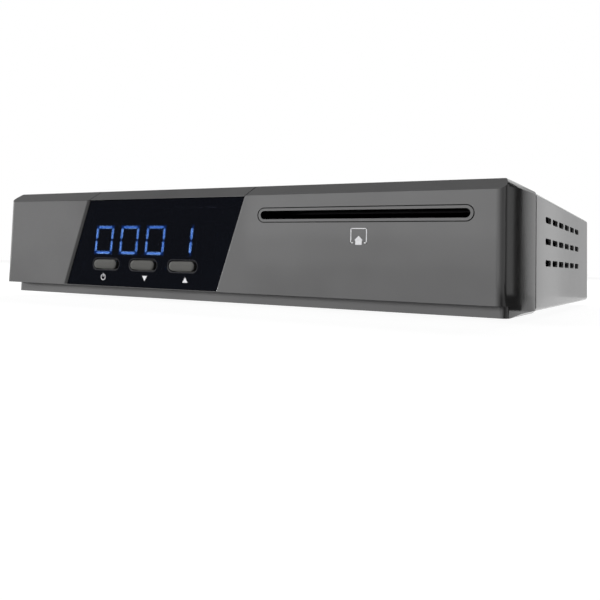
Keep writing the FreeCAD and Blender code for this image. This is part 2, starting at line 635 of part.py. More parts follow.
housings = []
for number, button_name in enumerate(BUTTONS):
    x = button_x(number)
    housing = block("switch_block", (f"{x} - switch_side / 2", f"{x} + switch_side / 2"),
                    (SWITCH_FRONT, "panel_board_front"),
                    ("stem_level - switch_side / 2", "stem_level + switch_side / 2"))
    bore = rod("switch_bore", "Y", (x, "stem_level"),
               (f"{SWITCH_FRONT} - 1", f"{SWITCH_FRONT} + plunger_depth + button_travel + slide_gap"),
               "plunger_radius + slide_gap / 2")
    housings.append(cut("switch_housing", housing, [bore]))
    plunger = rod(f"switch_plunger_{button_name}", "Y", (x, "stem_level"),
                  (PLUNGER_FRONT, f"{SWITCH_FRONT} + plunger_depth"), "plunger_radius")
    keep(f"switch_plunger_{button_name}", plunger)
group("switch_housings", housings)

# ---- front board, LED display, infrared receiver ----------------------------------------------------------

panel_board = new_body("front_board")
drawing = sketch(panel_board, "front_board_outline", "Y", "panel_board_front")
rectangle(drawing, (PANEL_BOARD_LEFT, PANEL_BOARD_RIGHT), ("panel_board_low", "panel_board_high"))
for across, up in BOSSES:
    circle(drawing, across, up, "screw_radius + fit_gap")
pad(panel_board, drawing, "panel_board_thickness", backwards=True)

group("front_board_screws", [
    fuse("front_board_screw", [
        rod("screw_shank", "Y", (across, up), (f"panel_board_front - 5", PANEL_BOARD_BACK), "screw_radius"),
        rod("screw_head", "Y", (across, up), (PANEL_BOARD_BACK, f"{PANEL_BOARD_BACK} + screw_head_height"),
            "screw_head_radius")])
    for across, up in BOSSES])

DISPLAY_FRONT = f"({POCKET_BACK} + fit_gap)"
keep("display_housing", block("display_housing", (f"{DISPLAY_MIDDLE} - 2 * digit_pitch",
                                                  f"{DISPLAY_MIDDLE} + 2 * digit_pitch"),
                              (DISPLAY_FRONT, "panel_board_front"), ("display_low", "display_high")))


def strokes():
    """The seven segments of a digit, as outlines about the digit's middle: a to g in the usual order."""
    half, rise = value("digit_width") / 2, value("digit_height") / 2
    wide, gap = value("stroke_width"), value("stroke_gap")
    top = [(-half + gap, rise), (half - gap, rise), (half - wide - gap, rise - wide),
           (-half + wide + gap, rise - wide)]
    side = [(half, rise - gap), (half, gap), (half - wide / 2, gap), (half - wide, wide / 2 + gap),
            (half - wide, rise - wide - gap)]
    middle = [(-half + wide / 2 + gap, 0), (-half + wide + gap, wide / 2), (half - wide - gap, wide / 2),
              (half - wide / 2 - gap, 0), (half - wide - gap, -wide / 2), (-half + wide + gap, -wide / 2)]

    def flip(points, across, up):
        return [(x * across, z * up) for x, z in points]

    return {"a": top, "b": side, "c": flip(side, 1, -1), "d": flip(top, 1, -1), "e": flip(side, -1, -1),
            "f": flip(side, -1, 1), "g": middle}


LIT = ("abcdef", "abcdef", "abcdef", "bc")
lean = math.tan(math.radians(value("digit_slant")))
depth = FreeCAD.Vector(0, value("stroke_thickness"), 0)
lit, dark = [], []
for place_number, shown in enumerate(LIT):
    centre_x = value(DISPLAY_MIDDLE) + (place_number - 1.5) * value("digit_pitch")
    for letter, points in strokes().items():
        corners = [FreeCAD.Vector(centre_x + x + z * lean, 0, value("digit_level") + z) for x, z in points]
        face = Part.Face(Part.makePolygon(corners + corners[:1]))
        (lit if letter in shown else dark).append(face.extrude(depth))
for name, solids in (("display_lit_segments", lit), ("display_dark_segments", dark)):
    segments = doc.addObject("Part::Feature", name)
    segments.Shape = Part.makeCompound(solids)
    place(segments, "0", f"{DISPLAY_FRONT} - stroke_thickness", "0")
    keep(name, segments)

sensor_block = block("sensor_block", (f"{SENSOR_MIDDLE} - sensor_width / 2", f"{SENSOR_MIDDLE} + sensor_width / 2"),
                     ("panel_board_front - sensor_depth", "panel_board_front"),
                     ("sensor_level - sensor_width / 2", "sensor_level + sensor_width / 2"))
sensor_eye = doc.addObject("Part::Sphere", "sensor_eye")
bind(sensor_eye, "Radius", "sensor_eye_radius")
place(sensor_eye, SENSOR_MIDDLE, "panel_board_front - sensor_depth", "sensor_level")
keep("infrared_receiver", fuse("infrared_receiver", [sensor_block, sensor_eye]))

# ---- case: a folded cover with vents, and a pan whose rear wall holds the sockets --------------------------

cover = new_body("top_cover")
drawing = sketch(cover, "cover_section", "Y", CASE_FRONT)
HEM = f"({HALF} - hem_width)"
outline(drawing, [(f"-{HEM}", "case_rise"), (f"-{HALF}", "case_rise"), (f"-{HALF}", "body_height"),
                  (HALF, "body_height"), (HALF, "case_rise"), (HEM, "case_rise"),
                  (HEM, "case_rise + sheet_thickness"), (f"{HALF} - sheet_thickness", "case_rise + sheet_thickness"),
                  (f"{HALF} - sheet_thickness", COVER_UNDERSIDE), (f"-{HALF} + sheet_thickness", COVER_UNDERSIDE),
                  (f"-{HALF} + sheet_thickness", "case_rise + sheet_thickness"),
                  (f"-{HEM}", "case_rise + sheet_thickness")])
pad(cover, drawing, f"body_depth - {CASE_FRONT}", backwards=True)
outer_x, inner_x = value(HALF), value(f"{HALF} - sheet_thickness")
dress(cover, "Fillet", "bend_radius", lambda edge: runs_along(edge, "Y") and near(abs(edge.CenterOfMass.x), outer_x))
dress(cover, "Fillet", "bend_radius - sheet_thickness",
      lambda edge: runs_along(edge, "Y") and near(abs(edge.CenterOfMass.x), inner_x))
drawing = sketch(cover, "cover_rear_flange", "Y", PANEL_BACK)
rectangle(drawing, (f"-{HALF} + hem_width", f"{HALF} - hem_width"), ("body_height - rear_flange", COVER_UNDERSIDE))
pad(cover, drawing, "sheet_thickness", backwards=True)
COVER_SCREWS = (f"-({HALF} - 17)", "0", f"({HALF} - 17)")
COVER_SCREW_Z = "(body_height - rear_flange / 2 - sheet_thickness / 2)"
drawing = sketch(cover, "cover_screw_holes", "Y", PANEL_BACK)
for across in COVER_SCREWS:
    circle(drawing, across, COVER_SCREW_Z, "screw_radius + fit_gap")
pocket(cover, drawing, "body_depth")
drawing = sketch(cover, "cover_vent", "X")
stadium(drawing, "vent_first + vent_length / 2", "vent_lowest", "vent_length", "vent_height")
vent = pocket(cover, drawing, f"2 * {WIDTH}", both_ways=True)


def pattern(body, originals, name, axis_role, gap, count):
    """Repeats a feature along one of the body's own axes, gap apart."""
    doc.recompute()
    before = body.Shape.Volume
    rows = body.newObject("PartDesign::LinearPattern", name)
    rows.Originals = originals
    axis = next(item for item in body.Origin.OriginFeatures if item.Role == axis_role)
    rows.Direction = (axis, [""])
    rows.Occurrences = count
    bind(rows, "Length", f"({gap}) * {count - 1}")
    body.Tip = rows
    doc.recompute()
    if near(body.Shape.Volume, before):
        raise ValueError(f"{name} repeats nothing")
    return rows


VENT_COUNT = 6
VENT_ROWS = 3
for level in range(1, VENT_ROWS):
    drawing = sketch(cover, "cover_vent_above", "X")
    stadium(drawing, "vent_first + vent_length / 2", f"vent_lowest + vent_row_pitch * {level}",
            "vent_length", "vent_height")
    pocket(cover, drawing, f"2 * {WIDTH}", both_ways=True)
vent_pockets = [item for item in cover.Group if item.Name.startswith("cover_vent") and
                item.TypeId == "PartDesign::Pocket"]
pattern(cover, vent_pockets, "cover_vents", "Y_Axis", "vent_pitch", VENT_COUNT)

pan = new_body("base_pan")
drawing = sketch(pan, "pan_side_view", "X", f"-{PAN_HALF}")
BEND_Y = f"({CASE_FRONT} + rim_length)"
outline(drawing, [("tongue_front", f"{PAN_LOW} + tongue_rise"), (BEND_Y, f"{PAN_LOW} + tongue_rise"),
                  (f"{BEND_Y} + tongue_rise", PAN_LOW), (PANEL_BACK, PAN_LOW),
                  (PANEL_BACK, f"{COVER_UNDERSIDE} - fit_gap"), (PANEL_FRONT, f"{COVER_UNDERSIDE} - fit_gap"),
                  (PANEL_FRONT, FLOOR), (f"{BEND_Y} + tongue_rise + fit_gap", FLOOR), (BEND_Y, TONGUE_TOP),
                  ("tongue_front", TONGUE_TOP)])
pad(pan, drawing, f"2 * {PAN_HALF}")
TONGUE_HALF = f"({HALF} - bezel_wall - slide_gap)"
drawing = sketch(pan, "pan_tongue_sides", "Z")
for side in ("-", ""):
    near_x, far_x = f"{side}{TONGUE_HALF}", f"{side}({HALF} + 5)"
    points = [(near_x, "0"), (far_x, "0"), (far_x, BEND_Y), (near_x, BEND_Y)]
    outline(drawing, points)
pocket(pan, drawing, "4 * body_height", both_ways=True)
for side in (-1, 1):
    low, high = (f"-{PAN_HALF}", f"-{PAN_HALF} + sheet_thickness")
    if side > 0:
        low, high = (f"{PAN_HALF} - sheet_thickness", PAN_HALF)
    drawing = sketch(pan, "pan_side_flange", "Y", BEND_Y)
    rectangle(drawing, (low, high), (FLOOR, f"{FLOOR} + pan_flange - fit_gap"))
    pad(pan, drawing, f"{PANEL_FRONT} - {BEND_Y}", backwards=True)

HDMI_LOW, USB_LOW, SCART_LOW = BOARD_TOP, BOARD_TOP, BOARD_TOP
POWER_LEVEL = f"({BOARD_TOP} + 6)"
EYE_JACK_LEVEL = f"({BOARD_TOP} + 3.5)"
drawing = sketch(pan, "pan_socket_holes", "Y", PANEL_FRONT)
circle(drawing, AERIAL_X, "aerial_level", "barrel_radius + barrel_step + fit_gap")
circle(drawing, AUDIO_X, "audio_level", "collar_radius + collar_step + fit_gap")
circle(drawing, EYE_JACK_X, EYE_JACK_LEVEL, "eye_jack_bore + 1.2 + fit_gap")
circle(drawing, POWER_X, POWER_LEVEL, "power_bore + 1.2 + fit_gap")
for middle, wide, low, high in ((HDMI_X, "hdmi_width", HDMI_LOW, "hdmi_height"),
                                (SCART_X, "scart_width", SCART_LOW, "scart_height"),
                                (USB_X, "usb_width", USB_LOW, "usb_height")):
    rectangle(drawing, (f"{middle} - {wide} / 2 - slide_gap", f"{middle} + {wide} / 2 + slide_gap"),
              (f"{low} - slide_gap", f"{low} + {high} + slide_gap"))
for across in COVER_SCREWS:
    circle(drawing, across, COVER_SCREW_Z, "screw_radius")
pocket(pan, drawing, "body_depth")

FEET = [(f"{side} * ({HALF} - foot_inset)", back) for side in (-1, 1) for back in ("foot_front", "body_depth - foot_back_inset")]
drawing = sketch(pan, "pan_floor_holes", "Z", FLOOR)
for across, back in FEET:
    circle(drawing, across, back, "peg_radius")
pocket(pan, drawing, "body_height")
drawing = sketch(pan, "pan_bezel_screw_holes", "Z", TONGUE_TOP)
for across in BEZEL_SCREWS:
    circle(drawing, across, BEZEL_SCREW_Y, "screw_radius")
pocket(pan, drawing, "body_height")
FLOOR_VENT_COUNT = 9
drawing = sketch(pan, "pan_vent", "Z", FLOOR)
VENT_START = f"(-floor_vent_pitch * {(FLOOR_VENT_COUNT - 1) / 2})"
rectangle(drawing, (f"{VENT_START} - floor_vent_width / 2", f"{VENT_START} + floor_vent_width / 2"),
          ("floor_vent_front", "floor_vent_front + floor_vent_length"))
floor_vent = pocket(pan, drawing, "body_height")
pattern(pan, [floor_vent], "pan_vents", "X_Axis", "floor_vent_pitch", FLOOR_VENT_COUNT)

feet = []
for across, back in FEET:
    pad_of_rubber = doc.addObject("Part::Cone", "foot_pad")
    bind(pad_of_rubber, "Radius1", "foot_radius * 0.9")
    bind(pad_of_rubber, "Radius2", "foot_radius")
    bind(pad_of_rubber, "Height", f"{PAN_LOW} + foot_lift")
    place(pad_of_rubber, across, back, "-foot_lift")
    peg = rod("foot_peg", "Z", (across, back), (PAN_LOW, f"{FLOOR} + 1"), "peg_radius")
    feet.append(fuse("rubber_foot", [pad_of_rubber, peg]))
group("rubber_feet", feet)

group("cover_screws", [
    fuse("cover_screw", [
        rod("screw_shank", "Y", (across, COVER_SCREW_Z), (f"{PANEL_FRONT} - 3", "body_depth"), "screw_radius"),
        rod("screw_head", "Y", (across, COVER_SCREW_Z), ("body_depth", "body_depth + screw_head_height"),
            "screw_head_radius")])
    for across in COVER_SCREWS])

group("bezel_screws", [
    fuse("bezel_screw", [
        rod("screw_shank", "Z", (across, BEZEL_SCREW_Y), ("bezel_wall / 2", f"{TONGUE_TOP} + 1.5"), "screw_radius"),
        rod("screw_head", "Z", (across, BEZEL_SCREW_Y), ("fit_gap", "bezel_wall / 2"), "screw_head_radius")])
    for across in BEZEL_SCREWS])

# ---- main board, raised on standoffs -----------------------------------------------------------------------



def along(share):
    """A place on the main board, as a share of the way from its front edge to its rear edge."""
    return f"(board_front + {share} * ({BOARD_BACK} - board_front))"


BOARD_SCREWS = ((f"-({BOARD_HALF} - 5)", "board_front + 4.5"), (f"{BOARD_HALF} - 5", "board_front + 4.5"),
                (f"{BOARD_HALF} - 5", along(0.58)), ("-38", along(0.686)))
CHIP_Y = along(0.383)

board = new_body("main_board")
drawing = sketch(board, "main_board_outline", "Z", BOARD_LOW)
rectangle(drawing, (f"-{BOARD_HALF}", BOARD_HALF), ("board_front", BOARD_BACK))
for across, back in BOARD_SCREWS:
    circle(drawing, across, back, "screw_radius + fit_gap")
pad(board, drawing, "board_thickness")


def tube(name, axis, centre, span, outside, inside):
    """A round tube along axis, open at both ends."""
    longer = (f"{span[0]} - 1", f"{span[1]} + 1")
    return cut(name, rod(f"{name}_outside", axis, centre, span, outside),
               [rod(f"{name}_inside", axis, centre, longer, inside)])


group("main_board_standoffs", [
    tube("main_board_standoff", "Z", spot, (FLOOR, BOARD_LOW), "standoff_radius", "screw_radius")
    for spot in BOARD_SCREWS])
group("main_board_screws", [
    fuse("main_board_screw", [
        rod("screw_shank", "Z", spot, (f"{BOARD_LOW} - 4", BOARD_TOP), "screw_radius"),
        rod("screw_head", "Z", spot, (BOARD_TOP, f"{BOARD_TOP} + screw_head_height"), "screw_head_radius")])
    for spot in BOARD_SCREWS])


def on_board(name, x, y, size_x, size_y, size_z):
    """A block that stands on the main board, about its middle x and y."""
    return block(name, (f"{x} - ({size_x}) / 2", f"{x} + ({size_x}) / 2"),
                 (f"{y} - ({size_y}) / 2", f"{y} + ({size_y}) / 2"), (BOARD_TOP, f"{BOARD_TOP} + {size_z}"))


keep("system_chip", on_board("system_chip", "chip_x", CHIP_Y, "chip_side", "chip_side", "chip_height"))

SINK_LOW = f"({BOARD_TOP} + chip_height)"
sink_edge = "chip_x - sink_side / 2"
sink = block("sink_block", (sink_edge, "chip_x + sink_side / 2"),
             (f"{CHIP_Y} - sink_side / 2", f"{CHIP_Y} + sink_side / 2"), (SINK_LOW, f"{SINK_LOW} + sink_height"))
FIN_GAP_COUNT = 6
fin_gaps = []
for number in range(FIN_GAP_COUNT):
    start = f"chip_x + fin_pitch * {number - (FIN_GAP_COUNT - 1) / 2} - fin_gap / 2"
    fin_gaps.append(block("fin_gap", (start, f"{start} + fin_gap"), (f"{CHIP_Y} - sink_side", f"{CHIP_Y} + sink_side"),
                          (f"{SINK_LOW} + sink_base", f"{SINK_LOW} + sink_height + 1")))
keep("heatsink", cut("heatsink", sink, fin_gaps))

group("board_chips", [on_board("board_chip", *spot) for spot in (
    ("-14", along(0.303), "9", "13", "1.2"), ("-14", along(0.54), "9", "13", "1.2"),
    ("40", along(0.224), "12", "18", "1.1"), ("-38", along(0.224), "10", "10", "1.2"),
    ("50", along(0.541), "6", "5", "1.6"))])
group("power_inductors", [on_board("power_inductor", *spot) for spot in (
    ("60", along(0.409), "7", "7", "4.2"), ("42", along(0.435), "7", "7", "4.2"),
    ("-38", along(0.46), "5", "5", "3.2"))])


def can(x, y, radius, height):
    """An electrolytic capacitor standing on the main board."""
    return rod("capacitor", "Z", (x, y), (BOARD_TOP, f"{BOARD_TOP} + {height}"), radius)


group("capacitors", [can(*spot) for spot in (
    ("60", along(0.7), "5", "12.5"), ("48", along(0.712), "4", "11.5"), ("38", along(0.673), "3.15", "8"),
    ("60", along(0.224), "4", "11.5"), ("-29", along(0.594), "3.15", "8"), ("-24", along(0.383), "2.5", "7"))])

# ---- flat ribbons between the boards, with their sockets ---------------------------------------------------

RIBBON_A_X = f"({PANEL_BOARD_LEFT} + 23)"
RIBBON_B_X = f"({CARD_MIDDLE} - 15.75)"
SOCKET_DEPTH = "3.5"
CARD_SOCKET_Y = "(reader_back + 1)"


def socket(name, x, y, z):
    """A ribbon socket, a little wider than its ribbon."""
    return block(name, (f"{x} - ribbon_width / 2 - 1.5", f"{x} + ribbon_width / 2 + 1.5"), y, z)


MAIN_SOCKET_Y = ("board_front + 1", f"board_front + 1 + {SOCKET_DEPTH}")
MAIN_SOCKET_Z = (BOARD_TOP, f"{BOARD_TOP} + {SOCKET_DEPTH}")
MAIN_SOCKET_MIDDLE = f"(board_front + 1 + {SOCKET_DEPTH} / 2)"
PANEL_SOCKET_Z = ("panel_board_low + 1", f"panel_board_low + 1 + {SOCKET_DEPTH}")
group("ribbon_sockets", [
    socket("panel_socket", RIBBON_A_X, (PANEL_BOARD_BACK, f"{PANEL_BOARD_BACK} + {SOCKET_DEPTH}"), PANEL_SOCKET_Z),
    socket("main_socket_a", RIBBON_A_X, MAIN_SOCKET_Y, MAIN_SOCKET_Z),
    socket("main_socket_b", RIBBON_B_X, MAIN_SOCKET_Y, MAIN_SOCKET_Z),
    socket("card_socket", RIBBON_B_X, (CARD_SOCKET_Y, f"{CARD_SOCKET_Y} + {SOCKET_DEPTH}"),
           (TRAY_LOW, f"{TRAY_LOW} + {SOCKET_DEPTH}"))])


def ribbon(name, x, path):
    """A flat ribbon of even thickness whose lower face follows path, in y and z."""
    body = new_body(name)
    view = sketch(body, f"{name}_side_view", "X", f"{x} - ribbon_width / 2")
    outline(view, path)
    pad(body, view, "ribbon_width")
    return body


START_Y = f"({PANEL_BOARD_BACK} + {SOCKET_DEPTH})"
START_Z = f"(panel_board_low + 1 + {SOCKET_DEPTH} / 2)"
END_Z = f"({BOARD_TOP} + {SOCKET_DEPTH} / 2)"
ribbon("front_ribbon", RIBBON_A_X, [
    (START_Y, START_Z), (f"{START_Y} + 6", START_Z), (f"{START_Y} + 10", f"{TONGUE_TOP} + 1"),
    ("board_front - 12", f"{TONGUE_TOP} + 1"), ("board_front - 5", END_Z), ("board_front + 1", END_Z),
    ("board_front + 1", f"{END_Z} + ribbon_thickness"),
    ("board_front - 5.2", f"{END_Z} + ribbon_thickness"),
    ("board_front - 12.2", f"{TONGUE_TOP} + 1 + ribbon_thickness"),
    (f"{START_Y} + 10.2", f"{TONGUE_TOP} + 1 + ribbon_thickness"),
    (f"{START_Y} + 6.2", f"{START_Z} + ribbon_thickness"), (START_Y, f"{START_Z} + ribbon_thickness")])

OUT_Y = f"({CARD_SOCKET_Y} + {SOCKET_DEPTH})"
OUT_Z = f"({TRAY_LOW} + {SOCKET_DEPTH} / 2)"
SOCKET_TOP = f"({BOARD_TOP} + {SOCKET_DEPTH})"
ribbon("card_ribbon", RIBBON_B_X, [
    (OUT_Y, OUT_Z), (f"{MAIN_SOCKET_MIDDLE} - 1.5", OUT_Z), (MAIN_SOCKET_MIDDLE, f"{OUT_Z} - 1.5"),
    (MAIN_SOCKET_MIDDLE, SOCKET_TOP), (f"{MAIN_SOCKET_MIDDLE} + ribbon_thickness", SOCKET_TOP),
    (f"{MAIN_SOCKET_MIDDLE} + ribbon_thickness", f"{OUT_Z} - 1.5 + ribbon_thickness / 2"),
    (f"{MAIN_SOCKET_MIDDLE} - 1.5 + ribbon_thickness / 2", f"{OUT_Z} + ribbon_thickness"),
    (OUT_Y, f"{OUT_Z} + ribbon_thickness")])

# ---- smart-card reader on its own raised board --------------------------------------------------------------

RAIL = "((reader_width - card_width) / 4)"
READER_SCREWS = [(f"{x}", y) for x in (f"{READER_LEFT} + {RAIL}", f"{READER_RIGHT} - {RAIL}")
                 for y in ("reader_front + 6", "reader_back - 6")]
READER_SCREW_RADIUS = "(screw_radius - slide_gap)"


def screw_bores(name, low, high, gap):
    return [rod(name, "Z", spot, (low, high), f"{READER_SCREW_RADIUS} + {gap}") for spot in READER_SCREWS]


CONTACTS = 8
CONTACT_PITCH = "2.54"
contact_beds, contact_parts = [], []
for number in range(CONTACTS):
    column, row = number % 4, number // 4
    x = f"{CARD_MIDDLE} + 8 + {CONTACT_PITCH} * {column - 1.5}"
    y = f"reader_back - 19 - 9.5 * {row}"
    contact_beds.append(block("contact_bed", (f"{x} - 0.75", f"{x} + 0.75"), (y, f"{y} + 8.5"),
                              (f"{CARD_LOW} - 0.8", f"{CARD_LOW} + 0.2")))
    contact_parts.append(block("contact_blade", (f"{x} - 0.5", f"{x} + 0.5"), (f"{y} + 0.3", f"{y} + 8.2"),
                               (f"{CARD_LOW} - 0.8", f"{CARD_LOW} - 0.5")))
    contact_parts.append(block("contact_tip", (f"{x} - 0.5", f"{x} + 0.5"), (f"{y} + 2", f"{y} + 3.5"),
                               (f"{CARD_LOW} - 0.8", f"{CARD_LOW} + 0.1")))

tray = block("reader_block", (READER_LEFT, READER_RIGHT), ("reader_front", "reader_back"), (TRAY_LOW, CARD_HIGH))
channel = block("card_channel", (f"{CARD_MIDDLE} - card_width / 2", f"{CARD_MIDDLE} + card_width / 2"),
                ("reader_front - 1", "reader_back - card_stop"), (CARD_LOW, f"{CARD_HIGH} + 1"))
keep("card_reader_tray", cut("card_reader_tray", tray, [channel] + contact_beds
                             + screw_bores("tray_bore", f"{TRAY_LOW} - 1", f"{CARD_HIGH} + 1", "fit_gap")))

lid = block("lid_plate", (READER_LEFT, READER_RIGHT), ("reader_front", "reader_back"), (CARD_HIGH, READER_TOP))
lid_window = block("lid_window", (f"{CARD_MIDDLE} - card_width / 4", f"{CARD_MIDDLE} + card_width / 4"),
                   ("reader_front + 10", "reader_back - 16"), (f"{CARD_HIGH} - 1", f"{READER_TOP} + 1"))
keep("card_reader_lid", cut("card_reader_lid", lid, [lid_window]
                            + screw_bores("lid_bore", f"{CARD_HIGH} - 1", f"{READER_TOP} + 1", "fit_gap")))
keep("card_contacts", fuse("card_contacts", contact_parts))
keep("card_end_switch", block("card_end_switch", (f"{CARD_MIDDLE} + 10", f"{CARD_MIDDLE} + 16"),
                              ("reader_back", "reader_back + 3.5"), (TRAY_LOW, CARD_HIGH)))

card_board = new_body("card_board")
drawing = sketch(card_board, "card_board_outline", "Z", CARD_BOARD_LOW)
rectangle(drawing, (f"{READER_LEFT} - 0.6", f"{READER_RIGHT} + 0.6"), ("reader_front + 1", f"{OUT_Y} + 0.5"))
for spot in READER_SCREWS:
    circle(drawing, spot[0], spot[1], f"{READER_SCREW_RADIUS} + fit_gap")
pad(card_board, drawing, "board_thickness")

group("card_board_standoffs", [
    tube("card_board_standoff", "Z", spot, (TONGUE_TOP if "front" in spot[1] else FLOOR, CARD_BOARD_LOW),
         "standoff_radius", READER_SCREW_RADIUS)
    for spot in READER_SCREWS])
group("card_board_screws", [
    fuse("card_board_screw", [
        rod("screw_shank", "Z", spot, (f"{CARD_BOARD_LOW} - 4", READER_TOP), READER_SCREW_RADIUS),
        rod("screw_head", "Z", spot, (READER_TOP, f"{READER_TOP} + screw_head_height"),
            f"{RAIL} - fit_gap / 2")])
    for spot in READER_SCREWS])

# ---- tuner can and threaded aerial connector -----------------------------------------------------------------

keep("tuner_can", block("tuner_can", (f"{AERIAL_X} - tuner_width / 2", f"{AERIAL_X} + tuner_width / 2"),
                        (f"{PANEL_FRONT} - 2 - tuner_length", f"{PANEL_FRONT} - 2"),
                        (BOARD_TOP, f"{BOARD_TOP} + tuner_height")))

AERIAL = (AERIAL_X, "aerial_level")
BARREL_TIP = "(body_depth + barrel_reach)"
barrel = fuse("barrel_solid", [
    rod("barrel_plug_thread", "Y", AERIAL, (PANEL_BACK, BARREL_TIP), "barrel_radius"),
    rod("barrel_mounting_thread", "Y", AERIAL, (f"{PANEL_FRONT} - 1", f"{PANEL_BACK} + nut_thickness"),
        "barrel_radius + barrel_step"),
    rod("barrel_shoulder", "Y", AERIAL, (f"{PANEL_FRONT} - 2", PANEL_FRONT), "barrel_radius + 1.6")])
keep("aerial_barrel", cut("aerial_barrel", barrel, [
    rod("barrel_hollow", "Y", AERIAL, ("body_depth", f"{BARREL_TIP} + 1"), "barrel_bore")]))
keep("aerial_insulator", tube("aerial_insulator", "Y", AERIAL, ("body_depth", f"{BARREL_TIP} - 0.6"),
                              "barrel_bore", "0.6"))
nut = doc.addObject("Part::Prism", "nut_prism")
nut.Polygon = 6
nut.Placement.Rotation = TURNS["Y"]
bind(nut, "Circumradius", "nut_flats / sqrt(3)")
bind(nut, "Height", "nut_thickness")
place(nut, AERIAL_X, PANEL_BACK, "aerial_level")
keep("aerial_nut", cut("aerial_nut", nut, [
    rod("nut_bore", "Y", AERIAL, (f"{PANEL_BACK} - 1", f"{PANEL_BACK} + nut_thickness + 1"),
        "barrel_radius + barrel_step + fit_gap / 2")]))

# ---- HDMI and USB: folded shells, each round a tongue with contacts ------------------------------------------


def shell(name, x, width, height, depth):
    """A thin rectangular shell on the board, open towards the back, with a closed front end."""
    outer = block(f"{name}_outside", (f"{x} - {width} / 2", f"{x} + {width} / 2"),
                  (f"body_depth - {depth}", "body_depth + fit_gap"), (BOARD_TOP, f"{BOARD_TOP} + {height}"))
    inner = block(f"{name}_inside", (f"{x} - {width} / 2 + shell_wall", f"{x} + {width} / 2 - shell_wall"),
                  (f"body_depth - {depth} + 2", "body_depth + 1"),
                  (f"{BOARD_TOP} + shell_wall", f"{BOARD_TOP} + {height} - shell_wall"))
    return keep(name, cut(name, outer, [inner]))


def tongue(name, x, width, height, depth, share, thickness):
    """The insulated tongue in a shell; share is how far up the shell it stands."""
    level = f"({BOARD_TOP} + {height} * {share})"
    return keep(name, block(name, (f"{x} - {width} * 0.38", f"{x} + {width} * 0.38"),
                            (f"body_depth - {depth} + 2", "body_depth - 2"),
                            (f"{level} - {thickness} / 2", f"{level} + {thickness} / 2")))


shell("hdmi_shell", HDMI_X, "hdmi_width", "hdmi_height", "12")
tongue("hdmi_tongue", HDMI_X, "hdmi_width", "hdmi_height", "12", "0.58", "1.3")
shell("usb_shell", USB_X, "usb_width", "usb_height", "14")
tongue("usb_tongue", USB_X, "usb_width", "usb_height", "14", "0.66", "1.8")

# ---- SCART socket: a moulded block in a skirt, with two rows of contact slots ---------------------------------

SCART_LEFT = f"({SCART_X} - scart_width / 2)"
SCART_RIGHT = f"({SCART_X} + scart_width / 2)"
SCART_HIGH = f"({SCART_LOW} + scart_height)"
SCART_BACK = "(body_depth + 1)"
SKIRT = "1.2"
MOAT = "1.7"
SLOT_PITCH = "3.81"
moat = cut("scart_moat", block("moat_outside", (f"{SCART_LEFT} + {SKIRT}", f"{SCART_RIGHT} - {SKIRT}"),
                               (f"{SCART_BACK} - 9", f"{SCART_BACK} + 1"),
                               (f"{SCART_LOW} + {SKIRT}", f"{SCART_HIGH} - {SKIRT}")),
           [block("moat_inside", (f"{SCART_LEFT} + {SKIRT} + {MOAT}", f"{SCART_RIGHT} - {SKIRT} - {MOAT}"),
                  (f"{SCART_BACK} - 10", f"{SCART_BACK} + 2"),
                  (f"{SCART_LOW} + {SKIRT} + {MOAT}", f"{SCART_HIGH} - {SKIRT} - {MOAT}"))])
slots, blades = [], []
for row in (-1, 1):
    for number in range(10):
        x = f"{SCART_X} + {SLOT_PITCH} * {number - 4.5} + {row} * {SLOT_PITCH} / 4"
        z = f"({SCART_LOW} + scart_height / 2 + {row} * 2.2)"
        slots.append(block("scart_slot", (f"{x} - 0.9", f"{x} + 0.9"), (f"{SCART_BACK} - 8", f"{SCART_BACK} + 1"),
                           (f"{z} - 1.4", f"{z} + 1.4")))
        blades.append(block("scart_blade", (f"{x} - 0.3", f"{x} + 0.3"), (f"{SCART_BACK} - 8", f"{SCART_BACK} - 1.5"),
                            (f"{z} - 1.1", f"{z} + 1.1")))
scart_block = block("scart_block", (SCART_LEFT, SCART_RIGHT), ("body_depth - 18", SCART_BACK),
                    (SCART_LOW, SCART_HIGH))
keep("scart_socket", cut("scart_socket", scart_block, [moat] + slots))
group("scart_contacts", blades)

# ---- digital audio socket, infrared extension jack and DC inlet ------------------------------------------------

AUDIO = (AUDIO_X, "audio_level")
COLLAR_TIP = "(body_depth + collar_reach)"
keep("audio_socket_block", on_board("audio_socket_block", AUDIO_X, f"({PANEL_FRONT} - fit_gap - 6)", "10", "12",
                                    "12.6"))
keep("audio_collar", fuse("audio_collar", [
    tube("collar_tube", "Y", AUDIO, (f"{PANEL_FRONT} - fit_gap", COLLAR_TIP), "collar_radius",
         "collar_radius - collar_wall"),
    tube("collar_base", "Y", AUDIO, (f"{PANEL_FRONT} - fit_gap", "body_depth"), "collar_radius + collar_step",
         "collar_radius - collar_wall / 2")]))
keep("audio_insulator", tube("audio_insulator", "Y", AUDIO, (f"{PANEL_FRONT} - fit_gap", f"{COLLAR_TIP} - 0.5"),
                             "collar_radius - collar_wall", "1.7"))


def jack(name, x, level, bore, width, depth, height):
    """A moulded jack with a round nose through the rear panel and a blind bore."""
    front = f"({PANEL_FRONT} - fit_gap - {depth})"
    housing = on_board(f"{name}_housing", x, f"({front} + {depth} / 2)", width, depth, height)
    nose = rod(f"{name}_nose", "Y", (x, level), (f"{PANEL_FRONT} - 1", "body_depth + fit_gap"), f"{bore} + 1.2")
    hollow = rod(f"{name}_bore", "Y", (x, level), (f"body_depth + fit_gap - 12", "body_depth + 1"), bore)
    return keep(name, cut(name, fuse(f"{name}_solid", [housing, nose]), [hollow]))


